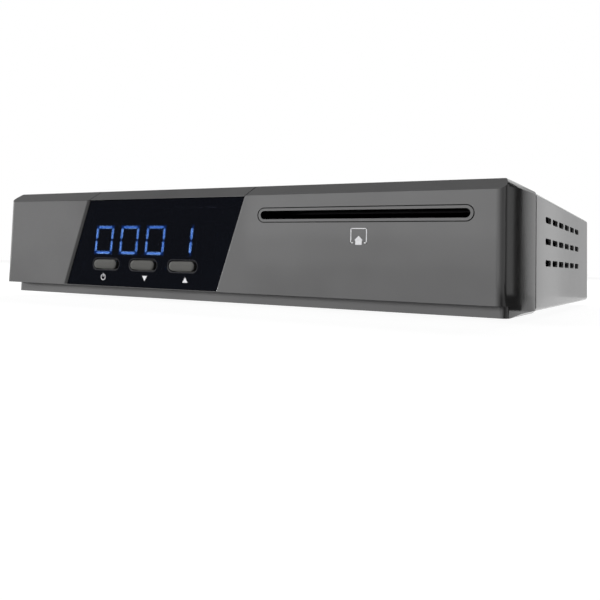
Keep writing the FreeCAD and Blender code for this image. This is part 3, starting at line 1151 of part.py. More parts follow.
jack("infrared_jack", EYE_JACK_X, EYE_JACK_LEVEL, "eye_jack_bore", "7", "13", "7")
jack("power_jack", POWER_X, POWER_LEVEL, "power_bore", "9.4", "13", "11")
keep("power_pin", rod("power_pin", "Y", (POWER_X, POWER_LEVEL), ("body_depth + fit_gap - 12", "body_depth - 1.5"),
                      "power_pin_radius"))

# ---- check and write ---------------------------------------------------------------------------------------------

doc.recompute()
failed = [item.Name for item in doc.Objects if {"Invalid", "Error"} & set(item.State)]
failed += [node.Label for node in nodes if node.Shape.isNull() or not node.Shape.isValid() or not node.Shape.Solids]
if failed:
    raise ValueError(f"failed: {', '.join(failed)}")

os.makedirs("parts", exist_ok=True)
for node in nodes:
    node.Shape.exportStep(f"parts/{node.Label}.step")
    box = node.Shape.BoundBox
    print(f"{node.Label:28s} {len(node.Shape.Solids):3d} solids {node.Shape.Volume:10.1f} mm3  "
          f"x {box.XMin:7.2f} {box.XMax:7.2f}  y {box.YMin:7.2f} {box.YMax:7.2f}  z {box.ZMin:7.2f} {box.ZMax:7.2f}")
print(len(nodes), "sub-parts")
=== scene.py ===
import math

import bmesh
import bpy
from mathutils import Matrix, Vector


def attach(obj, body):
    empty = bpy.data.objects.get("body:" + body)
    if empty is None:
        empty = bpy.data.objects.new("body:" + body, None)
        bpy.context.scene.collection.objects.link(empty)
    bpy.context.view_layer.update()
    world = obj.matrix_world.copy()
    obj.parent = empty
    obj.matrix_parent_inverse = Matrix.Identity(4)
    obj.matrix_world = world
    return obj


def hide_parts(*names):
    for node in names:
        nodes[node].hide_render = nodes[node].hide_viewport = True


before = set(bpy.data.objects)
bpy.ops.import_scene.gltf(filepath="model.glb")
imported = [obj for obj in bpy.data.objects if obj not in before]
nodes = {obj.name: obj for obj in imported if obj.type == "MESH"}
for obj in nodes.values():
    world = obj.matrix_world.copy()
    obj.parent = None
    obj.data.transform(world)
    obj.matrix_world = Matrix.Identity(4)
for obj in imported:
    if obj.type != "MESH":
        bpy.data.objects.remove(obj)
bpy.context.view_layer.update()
scene = bpy.context.scene
scene.view_settings.view_transform = "Standard"

# ---- Camera ----
# It stands low in front of the receiver's right-hand end and looks slightly up, so that the front, the right
# side and the thin shadow line under the bezel all show.

FRONT, BOTTOM = -78, 1.5


def at(x, y, z):
    """Metres from millimetres across the middle, back from the front face and up from the bezel's bottom."""
    return Vector((x, y + FRONT, z + BOTTOM)) / 1000


# In pixels: the picture's width, and how far the lens's axis lies above the picture's middle.
PICTURE_WIDTH, ABOVE_MIDDLE = 600, 82
camera = bpy.data.objects.new("camera", bpy.data.cameras.new("camera"))
scene.collection.objects.link(camera)
camera.data.sensor_width = 36
camera.data.lens = 42.47
camera.data.shift_y = -ABOVE_MIDDLE / PICTURE_WIDTH
camera.data.clip_start = 0.01
yaw, pitch, roll = math.radians(28.77), math.radians(3.89), math.radians(1.61)
ahead = Vector((-math.sin(yaw) * math.cos(pitch), math.cos(yaw) * math.cos(pitch), math.sin(pitch)))
level = Vector((math.cos(yaw), math.sin(yaw), 0))
upright = level.cross(ahead)
right = level * math.cos(roll) + upright * math.sin(roll)
upward = upright * math.cos(roll) - level * math.sin(roll)
turned = Matrix((right, upward, -ahead)).transposed().to_4x4()
camera.matrix_world = Matrix.Translation(at(118.2, -161.7, 10.8)) @ turned
scene.camera = camera

# ---- Table, backdrop and lights ----
# A matt white table in a white room. One softbox lights the front, a second the top and the back, and a third
# only the cover. Cards that only reflections show give the glossy bezel its greys and its dark stripe.


def grey(level):
    return level, level, level, 1


def empty_material(name):
    """A material with an output and nothing else, and its nodes and links."""
    paint = bpy.data.materials.new(name)
    paint.use_nodes = True
    tree = paint.node_tree
    tree.nodes.clear()
    return paint, tree, tree.nodes.new("ShaderNodeOutputMaterial")


def add(tree, kind, **values):
    """A shader node with values for some inputs; a space in an input's name is written as an underscore."""
    node = tree.nodes.new(f"ShaderNode{kind}")
    for label, value in values.items():
        node.inputs[label.replace("_", " ")].default_value = value
    return node


def calculate(tree, kind, first, second=0):
    """The result of a math node that works on two values or outputs."""
    node = add(tree, "Math")
    node.operation = kind
    for socket, value in zip(node.inputs, (first, second)):
        if isinstance(value, (int, float)):
            socket.default_value = value
        else:
            tree.links.new(value, socket)
    return node.outputs[0]


def link(tree, *pairs):
    for start, end in pairs:
        tree.links.new(start, end)


def show(tree, output, lighting, seen):
    """Gives soft light one shader, and the camera, reflections and glass another."""
    rays = add(tree, "LightPath")
    mix = add(tree, "MixShader")
    sharp = calculate(tree, "MAXIMUM", rays.outputs["Is Camera Ray"], rays.outputs["Is Glossy Ray"])
    sharp = calculate(tree, "MAXIMUM", sharp, rays.outputs["Is Transmission Ray"])
    link(tree, (sharp, mix.inputs[0]), (lighting.outputs[0], mix.inputs[1]), (seen.outputs[0], mix.inputs[2]),
         (mix.outputs[0], output.inputs["Surface"]))


def clear_selection():
    if bpy.context.object and bpy.context.object.mode == "EDIT":
        bpy.ops.object.mode_set(mode="OBJECT")
    bpy.ops.object.select_all(action="DESELECT")


clear_selection()
bpy.ops.mesh.primitive_plane_add(size=6, location=(0, 0, 0))
table = bpy.context.object
table.name = "table"
paint, tree, output = empty_material("table_white")
matt = add(tree, "BsdfDiffuse", Color=grey(0.28))
lift = add(tree, "Emission", Color=grey(0.935))
lifted = add(tree, "AddShader")
link(tree, (matt.outputs[0], lifted.inputs[0]), (lift.outputs[0], lifted.inputs[1]))
show(tree, output, matt, lifted)
table.data.materials.append(paint)


def card(name, shade, corners):
    """A flat card that only reflections show."""
    clear_selection()
    bpy.ops.mesh.primitive_plane_add(size=1)
    sheet = bpy.context.object
    sheet.name = name
    for corner, place in zip((0, 1, 3, 2), corners):
        sheet.data.vertices[corner].co = place
    sheet.visible_camera = sheet.visible_diffuse = sheet.visible_shadow = sheet.visible_transmission = False
    paint, tree, output = empty_material(f"{name}_cloth")
    cloth = add(tree, "Emission", Color=grey(shade))
    tree.links.new(cloth.outputs[0], output.inputs["Surface"])
    sheet.data.materials.append(paint)


def hanging(name, shade, left, right, y, high, low=-0.05):
    """An upright card, in metres like the other cards."""
    card(name, shade, ((left, y, low), (right, y, low), (right, y, high), (left, y, high)))


BESIDE, GREY_EDGE, BLACK_EDGE = 0.0826, 0.115, 0.1206
NEAR, FAR = -0.015, 0.135
for name, shade, left, right, high in (
        ("pale_side_card", 0.46, BESIDE, 0.094, 0.08), ("light_side_card", 0.46, 0.094, 0.104, 0.08),
        ("bright_side_card", 0.76, 0.104, GREY_EDGE, 0.08),
        ("grey_side_card", 0.44, GREY_EDGE, BLACK_EDGE, 0.07),
        ("black_side_card", 0.002, BLACK_EDGE, 0.1365, 0.1), ("dark_side_card", 0.2, 0.1365, 0.6, 0.2)):
    hanging(name, shade, left, right, FAR, high)
LAYER = 0.0002
for layer, name, shade, corners in (
        (1, "front_floor_card", 0.03, ((-0.95, -0.62), (0.3, -0.62), (0.3, -0.0765), (-0.95, -0.0765))),
        (2, "near_floor_card", 0.55, ((BESIDE, -0.075), (0.3, -0.12), (0.3, NEAR), (BESIDE, NEAR))),
        (2, "grey_floor_card", 0.34, ((0.0876, NEAR), (0.0925, NEAR), (BLACK_EDGE, FAR), (GREY_EDGE, FAR))),
        (2, "black_floor_card", 0.01, ((0.0925, NEAR), (0.7, NEAR), (0.7, FAR), (BLACK_EDGE, FAR))),
        (2, "left_floor_card", 0.3, ((-0.5, -0.097), (-BESIDE, -0.109), (-BESIDE, 0.3), (-0.5, 0.3))),
        (3, "pale_floor_card", 0.78, ((BESIDE, -0.043), (0.0828, -0.043), (GREY_EDGE, FAR), (BESIDE, FAR)))):
    card(name, shade, [(*corner, LAYER * layer) for corner in corners])
hanging("front_card", 0.02, -0.95, 0.2, -0.62, 0.9)
LOW_TOP = 0.045
hanging("low_right_card", 0.4, -0.33, 0.2, -0.6, LOW_TOP, 0.015)
hanging("front_right_card", 0.9, -0.33, 0.2, -0.6, 0.9, LOW_TOP)
CEILING = 0.5
for name, shade, left, right in (("left_ceiling_card", 0.06, -1.4, -0.5), ("ceiling_card", 0.03, -0.5, -0.22),
                                 ("right_ceiling_card", 0.0, -0.22, 0.4)):
    card(name, shade, [(x, y, CEILING) for x, y in ((left, -0.1), (right, -0.1), (right, 0.9), (left, 0.9))])

world = bpy.data.worlds.new("white_room")
world.use_nodes = True
scene.world = world
tree = world.node_tree
tree.nodes.clear()
show(tree, add(tree, "OutputWorld"), add(tree, "Background", Color=grey(0.03)),
     add(tree, "Background", Color=grey(1)))

AIM = Vector((0, 0, 0.02))
for name, distance, turn, rise, size, power in (
        ("front_softbox", 2.0, -50, 3, (0.7, 0.45), 66.0), ("back_softbox", 1.3, 195, 40, (1.0, 0.7), 9.0),
        ("side_softbox", 1.5, 100, 25, (0.5, 0.3), 9.0)):
    lamp = bpy.data.objects.new(name, bpy.data.lights.new(name, "AREA"))
    scene.collection.objects.link(lamp)
    lamp.data.shape = "RECTANGLE"
    lamp.data.size, lamp.data.size_y = size
    lamp.data.energy = power
    lamp.visible_camera = lamp.visible_glossy = lamp.visible_transmission = False
    side, height = math.radians(turn), math.radians(rise)
    flat = math.cos(height)
    direction = Vector((math.sin(side) * flat, -math.cos(side) * flat, math.sin(height)))
    lamp.location = AIM + direction * distance
    lamp.rotation_euler = direction.to_track_quat("Z", "Y").to_euler()
lit_from_the_side = bpy.data.collections.new("lit_from_the_side")
bpy.data.objects["side_softbox"].light_linking.receiver_collection = lit_from_the_side

# ---- Front bezel ----
# One injection moulding in glossy dark grey plastic with a fine texture. It wraps the front of the case and
# holds the window in a slanted pocket. It has a slot for the card, a rim that the cover slides over and bosses
# for the front board.


def block(name, low, high):
    """A block between two corners, with its place in its mesh."""
    clear_selection()
    bpy.ops.mesh.primitive_cube_add(size=1, location=(low + high) / 2, scale=high - low)
    piece = bpy.context.object
    piece.name = name
    bpy.ops.object.transform_apply(location=True, rotation=True, scale=True)
    return piece


def work_on(piece):
    """Opens a piece in edit mode with all of it selected."""
    clear_selection()
    piece.select_set(True)
    bpy.context.view_layer.objects.active = piece
    bpy.ops.object.mode_set(mode="EDIT")
    bpy.ops.mesh.select_all(action="SELECT")


def pick(kind, wanted):
    """Selects the faces, edges or vertices of the piece in edit mode that wanted accepts."""
    mesh = bmesh.from_edit_mesh(bpy.context.object.data)
    bpy.ops.mesh.select_mode(type={"faces": "FACE", "edges": "EDGE", "verts": "VERT"}[kind])
    bpy.ops.mesh.select_all(action="DESELECT")
    for item in getattr(mesh, kind):
        item.select_set(bool(wanted(item)))
    mesh.select_flush_mode()
    bmesh.update_edit_mesh(bpy.context.object.data)


def millimetres(place):
    """The reverse of at."""
    return place * 1000 - Vector((0, FRONT, BOTTOM))


def middle(item):
    """The middle of an edge, or a vertex's place, in millimetres."""
    if isinstance(item, bmesh.types.BMVert):
        return millimetres(item.co)
    return millimetres((item.verts[0].co + item.verts[1].co) / 2)


def at_depth(item, back):
    """Whether an edge's middle or a vertex lies this far behind the front face."""
    return abs(middle(item).y - back) < 0.001


def runs(edge, direction):
    """Whether an edge runs along a direction."""
    line = edge.verts[1].co - edge.verts[0].co
    return line.length > 1e-7 and abs(line.normalized().dot(Vector(direction))) > 0.999


def bevel_edges(piece, wanted, size, steps):
    work_on(piece)
    pick("edges", wanted)
    bpy.ops.mesh.bevel(offset=size / 1000, segments=steps, affect="EDGES")
    bpy.ops.object.mode_set(mode="OBJECT")


def move(piece, wanted, shift):
    """Moves the vertices that wanted accepts, in millimetres."""
    work_on(piece)
    pick("verts", wanted)
    bpy.ops.transform.translate(value=[step / 1000 for step in shift])
    bpy.ops.object.mode_set(mode="OBJECT")


def stretch(piece, wanted, factors, centre):
    """Scales the vertices that wanted accepts about a centre."""
    work_on(piece)
    pick("verts", wanted)
    bpy.ops.transform.resize(value=factors, center_override=at(*centre))
    bpy.ops.object.mode_set(mode="OBJECT")


def slice_off(piece, point, outwards):
    """Cuts away what lies beyond a plane and closes the cut."""
    work_on(piece)
    bpy.ops.mesh.bisect(plane_co=point, plane_no=outwards.normalized(), use_fill=True, clear_outer=True,
                        threshold=1e-7)
    bpy.ops.object.mode_set(mode="OBJECT")


def mark_across(piece, back):
    """Adds a ring of edges round a piece at a depth, which can then be moved."""
    work_on(piece)
    bpy.ops.mesh.bisect(plane_co=at(0, back, 0), plane_no=(0, 1, 0), threshold=1e-7)
    bpy.ops.object.mode_set(mode="OBJECT")


def combine(piece, other, how):
    """Joins other to piece, or takes it away, and removes other."""
    clear_selection()
    bpy.context.view_layer.objects.active = piece
    piece.select_set(True)
    step = piece.modifiers.new(how.lower(), "BOOLEAN")
    step.operation = how
    step.solver = "EXACT"
    step.object = other
    bpy.ops.object.modifier_apply(modifier=step.name)
    bpy.data.objects.remove(other)


def pill(name, centre, length, height, front, back, steps=8):
    """A bar from front to back whose ends are round, seen from the front."""
    bar = block(name, at(centre[0] - length / 2, front, centre[1] - height / 2),
                at(centre[0] + length / 2, back, centre[1] + height / 2))
    bevel_edges(bar, lambda edge: runs(edge, (0, 1, 0)), height / 2 * 0.998, steps)
    return bar


def post(name, axis, centre, start, end, radius, sides=32):
    """A round bar along y or z, from start to end, about a centre in the other two directions."""
    clear_selection()
    spot = (centre[0], (start + end) / 2, centre[1]) if axis == "Y" else (*centre, (start + end) / 2)
    turn = math.pi / 2 if axis == "Y" else 0
    bpy.ops.mesh.primitive_cylinder_add(vertices=sides, radius=radius / 1000, depth=(end - start) / 1000,
                                        location=at(*spot), rotation=(turn, 0, 0))
    bar = bpy.context.object
    bar.name = name
    bpy.ops.object.transform_apply(location=True, rotation=True, scale=True)
    return bar


def soften(piece, size, steps=2, angle=32):
    """Rounds the edges sharper than angle and shades the rest smooth."""
    clear_selection()
    piece.select_set(True)
    bpy.context.view_layer.objects.active = piece
    if size:
        step = piece.modifiers.new("edges", "BEVEL")
        step.width = size / 1000
        step.segments = steps
        step.limit_method = "ANGLE"
        step.angle_limit = math.radians(angle)
        step.use_clamp_overlap = True
        step.harden_normals = False
        bpy.ops.object.modifier_apply(modifier=step.name)
    bpy.ops.object.shade_smooth_by_angle(angle=math.radians(angle))
    step = piece.modifiers.new("normals", "WEIGHTED_NORMAL")
    step.keep_sharp = True
    bpy.ops.object.modifier_apply(modifier=step.name)


WIDTH, DEPTH, HEIGHT = 165, 145, 32.6
HALF = WIDTH / 2
SEAM, WALL = 34.8, 2
FACE_LOW, FACE_HIGH = 3, 29.6
WINDOW_MIDDLE, WINDOW_WIDTH, SLANT = -21.25, 57.9, 8.5
TAPER, TAPER_LENGTH = 0.4, 17.5
TAPER_RADIUS = (TAPER**2 + TAPER_LENGTH**2) / (2 * TAPER)


def taper_at(y):
    """How far the side has drawn in at a depth, along an arc that ends square at TAPER_LENGTH."""
    return TAPER_RADIUS - math.sqrt(TAPER_RADIUS**2 - (TAPER_LENGTH - y) ** 2)


def lean(shift, z):
    """Across position of a line that leans with the window, shift from the window's middle."""
    return WINDOW_MIDDLE + shift + SLANT * (z - (FACE_LOW + FACE_HIGH) / 2) / (FACE_HIGH - FACE_LOW)


def slanted(name, inset, low, high, front, back):
    """A slab with the window's slanted outline, drawn in by inset at each side."""
    slab = block(name, at(lean(-WINDOW_WIDTH / 2 + inset, low), front, low),
                 at(lean(WINDOW_WIDTH / 2 - inset, low), back, high))
    move(slab, lambda corner: middle(corner).z > (low + high) / 2, (lean(0, high) - lean(0, low), 0, 0))
    return slab


CORNER_ROUND, BAND_DEPTH = 2.1, 4.5
bezel = block("bezel_moulding", at(-HALF, 0, 0), at(HALF, SEAM, HEIGHT))
stations = [TAPER_LENGTH * step / 5 for step in range(6)]
for here, there in zip(stations, stations[1:]):
    for side in (-1, 1):
        start = at(side * (HALF - taper_at(here)), here, 0)
        along = at(side * (HALF - taper_at(there)), there, 0) - start
        slice_off(bezel, start, Vector((side * along.y, -side * along.x, 0)))
bevel_edges(bezel, lambda edge: runs(edge, (0, 0, 1)) and at_depth(edge, 0), CORNER_ROUND, 10)
slice_off(bezel, at(0, 0, FACE_HIGH), Vector((0, FACE_HIGH - HEIGHT, BAND_DEPTH)))

TOP_ROUND, ROUND_WIDTH, ROUND_LOSS, SPARE = 2.8, 0.45, 0.62, 0.02
ROUND_START = HALF - TOP_ROUND - 0.1
tunnel = block("rounded_tunnel", at(-HALF - SPARE, -1, -1), at(HALF + SPARE, SEAM + 1, HEIGHT + SPARE))
bevel_edges(tunnel, lambda edge: runs(edge, (0, 1, 0)) and middle(edge).z > HEIGHT / 2, TOP_ROUND, 8)
for back in stations[1:]:
    mark_across(tunnel, back)
for back in (-1, *stations[1:], SEAM + 1):
    keep = 1 - ROUND_LOSS * max(back, 0) / SEAM
    inwards = taper_at(min(max(back, 0), TAPER_LENGTH))
    for side in (-1, 1):
        stretch(tunnel, lambda corner: at_depth(corner, back) and middle(corner).x * side > ROUND_START
                and middle(corner).z > HEIGHT - TOP_ROUND - 0.1,
                (ROUND_WIDTH * keep, 1, keep), (side * (HALF + SPARE), back, HEIGHT + SPARE))
        move(tunnel, lambda corner: at_depth(corner, back) and middle(corner).x * side > ROUND_START,
             (-side * inwards, 0, 0))
combine(bezel, tunnel, "INTERSECT")

LEDGE, LEDGE_ROUND, LEDGE_INSET, BOTTOM_CUT = 5, 1.5, 0.9, 0.7
WEDGE = LEDGE_INSET + 0.1
for side in (-1, 1):
    slice_off(bezel, at(side * (HALF - BOTTOM_CUT), 0, 0), Vector((side, 0, -1)))
combine(bezel, block("under_ledge", at(-HALF - 5, -5, -5), at(HALF + 5, LEDGE, FACE_LOW)), "DIFFERENCE")
for side in (-1, 1):
    corner = block("ledge_corner", at(-WEDGE, LEDGE - 2, -5), at(5, TAPER_LENGTH, FACE_LOW))
    move(corner, lambda spot: middle(spot).x < 0 and middle(spot).y > LEDGE, (WEDGE, 0, 0))
    corner.data.transform(Matrix.Scale(side, 4, (1, 0, 0)) @ Matrix.Translation((HALF / 1000, 0, 0)))
    if side < 0:
        work_on(corner)
        bpy.ops.mesh.flip_normals()
        bpy.ops.object.mode_set(mode="OBJECT")
    combine(bezel, corner, "DIFFERENCE")
    round_x, round_y = side * (HALF - LEDGE_INSET - LEDGE_ROUND), LEDGE + LEDGE_ROUND
    low, high = sorted((round_x, side * (HALF + 5)))
    corner = block("ledge_corner", at(low, LEDGE - 1, -5), at(high, round_y, FACE_LOW))
    combine(corner, post("ledge_round", "Z", (round_x, round_y), -9, 9, LEDGE_ROUND, 48), "DIFFERENCE")
    combine(bezel, corner, "DIFFERENCE")

PANE_FRONT, PANE_BACK, POCKET_EDGE = 0.6, 2, 0.15
depth = PANE_FRONT
pocket = slanted("pocket", 0, FACE_LOW + POCKET_EDGE, FACE_HIGH - POCKET_EDGE, depth, PANE_BACK + 0.2)
for front, left_flare, right_flare in ((0.52, 0, 0), (0.18, 0.65, 0), (0, 0.35, 0.55), (-1, 0, 0)):
    work_on(pocket)
    pick("faces", lambda face: face.normal.y < -0.9)
    bpy.ops.mesh.extrude_region_move(TRANSFORM_OT_translate={"value": (0, (front - depth) / 1000, 0)})
    bpy.ops.object.mode_set(mode="OBJECT")
    for side, flare in ((-1, left_flare), (1, right_flare)):
        move(pocket, lambda corner: at_depth(corner, front)
             and (middle(corner).x - lean(0, middle(corner).z)) * side > 0, (side * flare, 0, 0))
    depth = front
combine(bezel, pocket, "DIFFERENCE")
OPENING_INSET, OPENING_LOW, OPENING_HIGH, THROUGH = 2.2, 5.15, 27.05, 9
opening = slanted("window_opening", OPENING_INSET, OPENING_LOW, OPENING_HIGH, 1, THROUGH)
combine(bezel, opening, "DIFFERENCE")

CARD_X, CARD_Z, CARD_LENGTH, CARD_HEIGHT = 45.75, 24.2, 57, 2.25
GROOVE_LENGTH, GROOVE_HEIGHT, GROOVE_WIDTH, GROOVE_DEPTH = 58.95, 4.1, 0.26, 0.5
card_groove = pill("card_groove", (CARD_X, CARD_Z), GROOVE_LENGTH, GROOVE_HEIGHT, -1, GROOVE_DEPTH, 12)
card_rim = pill("card_rim", (CARD_X, CARD_Z), GROOVE_LENGTH - 2 * GROOVE_WIDTH,
                GROOVE_HEIGHT - 2 * GROOVE_WIDTH, 0, 2, 12)
combine(card_groove, card_rim, "DIFFERENCE")
combine(bezel, card_groove, "DIFFERENCE")
card_opening = pill("card_opening", (CARD_X, CARD_Z), CARD_LENGTH, CARD_HEIGHT, -1, THROUGH, 10)
combine(bezel, card_opening, "DIFFERENCE")

BAND_GROOVE = 0.3
for shift in (-WINDOW_WIDTH / 2, WINDOW_WIDTH / 2):
    edge_x = lean(shift, FACE_HIGH)
    groove = block("band_groove", at(edge_x - BAND_GROOVE / 2, -0.25, FACE_HIGH - BAND_GROOVE),
                   at(edge_x + BAND_GROOVE / 2, BAND_DEPTH + 0.1, FACE_HIGH + 0.05))
    move(groove, lambda corner: middle(corner).y > 2, (0.9, 0, HEIGHT - FACE_HIGH))
    combine(bezel, groove, "DIFFERENCE")

HOLLOW_FRONT, FRONT_SKIN, SKIRT = 8, 3, 4
hollow = block("hollow", at(-HALF + WALL, HOLLOW_FRONT, WALL), at(HALF - WALL, SEAM + 5, HEIGHT - WALL))
combine(bezel, hollow, "DIFFERENCE")
hollow = block("front_hollow", at(-HALF + SKIRT, FRONT_SKIN, 5),
               at(HALF - SKIRT, HOLLOW_FRONT + 0.5, FACE_HIGH - WALL))
combine(bezel, hollow, "DIFFERENCE")
RIM_INSET, RIM_LOW, RIM_LENGTH = 0.9, 8.93, 3.5
rim = block("rim", at(-HALF + RIM_INSET, SEAM - 2, RIM_LOW),
            at(HALF - RIM_INSET, SEAM + RIM_LENGTH, HEIGHT - RIM_INSET))
rim_inside = block("rim_inside", at(-HALF + WALL, SEAM - 3, 8), at(HALF - WALL, SEAM + 5, HEIGHT - WALL))
combine(rim, rim_inside, "DIFFERENCE")
combine(bezel, rim, "UNION")

BOSS_RADIUS, BOSS_HOLE, BOSS_END = 2.6, 1.25, 11.4
for centre in ((-66, 8), (-66, 24), (9.5, 7.5)):
    combine(bezel, post("boss", "Y", centre, 2.8, BOSS_END, BOSS_RADIUS), "UNION")
    combine(bezel, post("boss_hole", "Y", centre, 4, BOSS_END + 0.6, BOSS_HOLE), "DIFFERENCE")
SCREWS, SCREW_Y, SCREW_HOLE = (-65.5, 0, 65.5), 22, 1.35
SEAT_TOP, SEAT_RADIUS = 1, 2.6
for x in SCREWS:
    combine(bezel, post("screw_hole", "Z", (x, SCREW_Y), -1, 3, SCREW_HOLE), "DIFFERENCE")
    combine(bezel, post("screw_seat", "Z", (x, SCREW_Y), -1, SEAT_TOP, SEAT_RADIUS), "DIFFERENCE")
soften(bezel, 0.22)

grain = bpy.data.node_groups.new("moulded_grain", "ShaderNodeTree")
for label, kind, value in (("Size", "Float", 2200), ("Depth", "Float", 0.05), ("Tint", "Color", grey(0.2)),
                           ("Mottle", "Float", 0.06), ("Sheen", "Float", 0.4)):
    socket = grain.interface.new_socket(label, in_out="INPUT", socket_type=f"NodeSocket{kind}")
    socket.default_value = value
for label, kind in (("Color", "Color"), ("Roughness", "Float"), ("Normal", "Vector")):
    grain.interface.new_socket(label, in_out="OUTPUT", socket_type=f"NodeSocket{kind}")
given = grain.nodes.new("NodeGroupInput").outputs
result = grain.nodes.new("NodeGroupOutput").inputs
place = add(grain, "TexCoord").outputs["Object"]
fine = add(grain, "TexNoise", Detail=3)
broad = add(grain, "TexNoise", Scale=45, Detail=2)
spread = add(grain, "MapRange", From_Min=0.35, From_Max=0.65)
colour = add(grain, "VectorMath")
colour.operation = "SCALE"
bump = add(grain, "Bump", Distance=0.00002)
link(grain, (place, fine.inputs["Vector"]), (place, broad.inputs["Vector"]),
     (given["Size"], fine.inputs["Scale"]), (broad.outputs["Fac"], spread.inputs["Value"]),
     (calculate(grain, "SUBTRACT", 1, given["Mottle"]), spread.inputs["To Min"]),
     (calculate(grain, "ADD", 1, given["Mottle"]), spread.inputs["To Max"]),
     (given["Tint"], colour.inputs[0]), (spread.outputs[0], colour.inputs["Scale"]),
     (fine.outputs["Fac"], bump.inputs["Height"]), (given["Depth"], bump.inputs["Strength"]),
     (colour.outputs[0], result["Color"]), (bump.outputs[0], result["Normal"]),
     (calculate(grain, "MULTIPLY", given["Sheen"], spread.outputs[0]), result["Roughness"]))


def grained(tree, **values):
    """Puts the grain in a material with its own values, and gives its outputs."""
    node = add(tree, "Group")
    node.node_tree = grain
    for label, value in values.items():
        node.inputs[label].default_value = value
    return node.outputs


def moulded(name, tint, sheen, size=2200, depth=0.05, mottle=0.05, gloss=1.5, metallic=0):
    """Moulded plastic or another evenly textured finish."""
    paint, tree, output = empty_material(name)
    shader = add(tree, "BsdfPrincipled", IOR=gloss, Metallic=metallic)
    texture = grained(tree, Size=size, Depth=depth, Tint=(*tint, 1), Mottle=mottle, Sheen=sheen)
    link(tree, (texture["Color"], shader.inputs["Base Color"]),
         (texture["Roughness"], shader.inputs["Roughness"]), (texture["Normal"], shader.inputs["Normal"]),
         (shader.outputs[0], output.inputs["Surface"]))
    return paint


def coat(paint, *names):
    """Gives CAD pieces their material."""
    for name in names:
        nodes[name].data.materials.clear()
        nodes[name].data.materials.append(paint)


def finish(piece, paint, body, replaced=()):
    """Gives a new piece its material and its body, and hides the nodes that it stands for."""
    piece.data.materials.clear()
    piece.data.materials.append(paint)
    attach(piece, body)
    if replaced:
        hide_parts(*replaced)


bezel_paint = moulded("bezel_plastic", (0.175, 0.175, 0.176), 0.085)
finish(bezel, bezel_paint, "case", ["front_bezel"])
# Painted shade: the walls of the card slot and of the window opening are painted black without reflections,
# and the groove round the slot and the rim behind the seam are painted near black, where shade falls.
shadow_paint = moulded("groove_shade", (0.03, 0.03, 0.03), 0.6)
bezel.data.materials.append(moulded("black_painted_shade", (0.004, 0.004, 0.004), 0.8, gloss=1))
bezel.data.materials.append(shadow_paint)
PAINTED_BLACK_SHADE, GROOVE_SHADE, OPENING_REACH = 1, 2, 33
for face in bezel.data.polygons:
    across, back, up = millimetres(face.center)
    beside, above = abs(across - CARD_X), abs(up - CARD_Z)
    in_slot = 0.8 < back < THROUGH and beside < CARD_LENGTH / 2 + 0.1 and above < CARD_HEIGHT / 2 + 0.125
    in_groove = (0.2 < back < GROOVE_DEPTH + 0.05 and beside < GROOVE_LENGTH / 2 + 0.025
                 and above < GROOVE_HEIGHT / 2 + 0.05)
    in_opening = (PANE_BACK - 0.1 < back < THROUGH + 1 and abs(across - WINDOW_MIDDLE) < OPENING_REACH
                  and FACE_LOW + 0.5 < up < FACE_HIGH - 0.6)
    if in_slot:
        face.material_index = PAINTED_BLACK_SHADE
    elif in_groove or back > SEAM - 0.05:
        face.material_index = GROOVE_SHADE
    elif in_opening:
        face.material_index = PAINTED_BLACK_SHADE

# ---- Display window and its adhesive frame ----
# A slanted pane of smoked acrylic, black when unlit, with three round-ended holes for the buttons, chamfered
# at the front. It is laid in the bezel's pocket on a thin frame of black double-sided foam.

BUTTONS = (("power", -38.35), ("channel_down", -23.7), ("channel_up", -9.05))
BUTTON_Z, BUTTON_WIDTH, BUTTON_HEIGHT = 9.8, 9, 2.65
HOLE_WIDTH, HOLE_HEIGHT = 10.3, 3.25
CHAMFER_DEPTH, CHAMFER_FLARE = 0.22, (1.075, 1, 1.24)
SIDE_GAP, EDGE_GAP = 0.3, 0.25

pane = slanted("window_pane", SIDE_GAP, FACE_LOW + EDGE_GAP, FACE_HIGH - EDGE_GAP, PANE_FRONT, PANE_BACK)
for name, x in BUTTONS:
    combine(pane, pill("hole", (x, BUTTON_Z), HOLE_WIDTH, HOLE_HEIGHT, 0, 3), "DIFFERENCE")
    chamfer = pill("hole_chamfer", (x, BUTTON_Z), HOLE_WIDTH - 0.04, HOLE_HEIGHT - 0.04, PANE_FRONT - 0.01,
                   PANE_FRONT + CHAMFER_DEPTH)
    stretch(chamfer, lambda corner: middle(corner).y < PANE_FRONT, CHAMFER_FLARE, (x, PANE_FRONT, BUTTON_Z))
    combine(pane, chamfer, "DIFFERENCE")
soften(pane, 0.08)
paint, tree, output = empty_material("smoked_acrylic")
shader = add(tree, "BsdfPrincipled", IOR=1.3, Transmission_Weight=0.84)
texture = grained(tree, Size=60, Depth=0.01, Tint=(0.03, 0.034, 0.05, 1), Mottle=0.02, Sheen=0.03)
link(tree, (texture["Color"], shader.inputs["Base Color"]),
     (texture["Roughness"], shader.inputs["Roughness"]), (shader.outputs[0], output.inputs["Surface"]))
finish(pane, paint, "case", ["display_lens"])
pane.data.materials.append(moulded("hole_chamfer", (0.03, 0.03, 0.034), 0.35))
for face in pane.data.polygons:
    if abs(millimetres(face.center).z - BUTTON_Z) < 2.2 and 0.2 < -face.normal.y < 0.97:
        face.material_index = 1
coat(moulded("foam_tape", (0.01, 0.01, 0.01), 0.9, 4000, 0.3), "lens_adhesive")

# ---- Push buttons ----
# Three pill-shaped caps in grey satin plastic, each moulded with a flange that stops it behind the window and
# a stem that reaches back to its switch. One is made and copied.

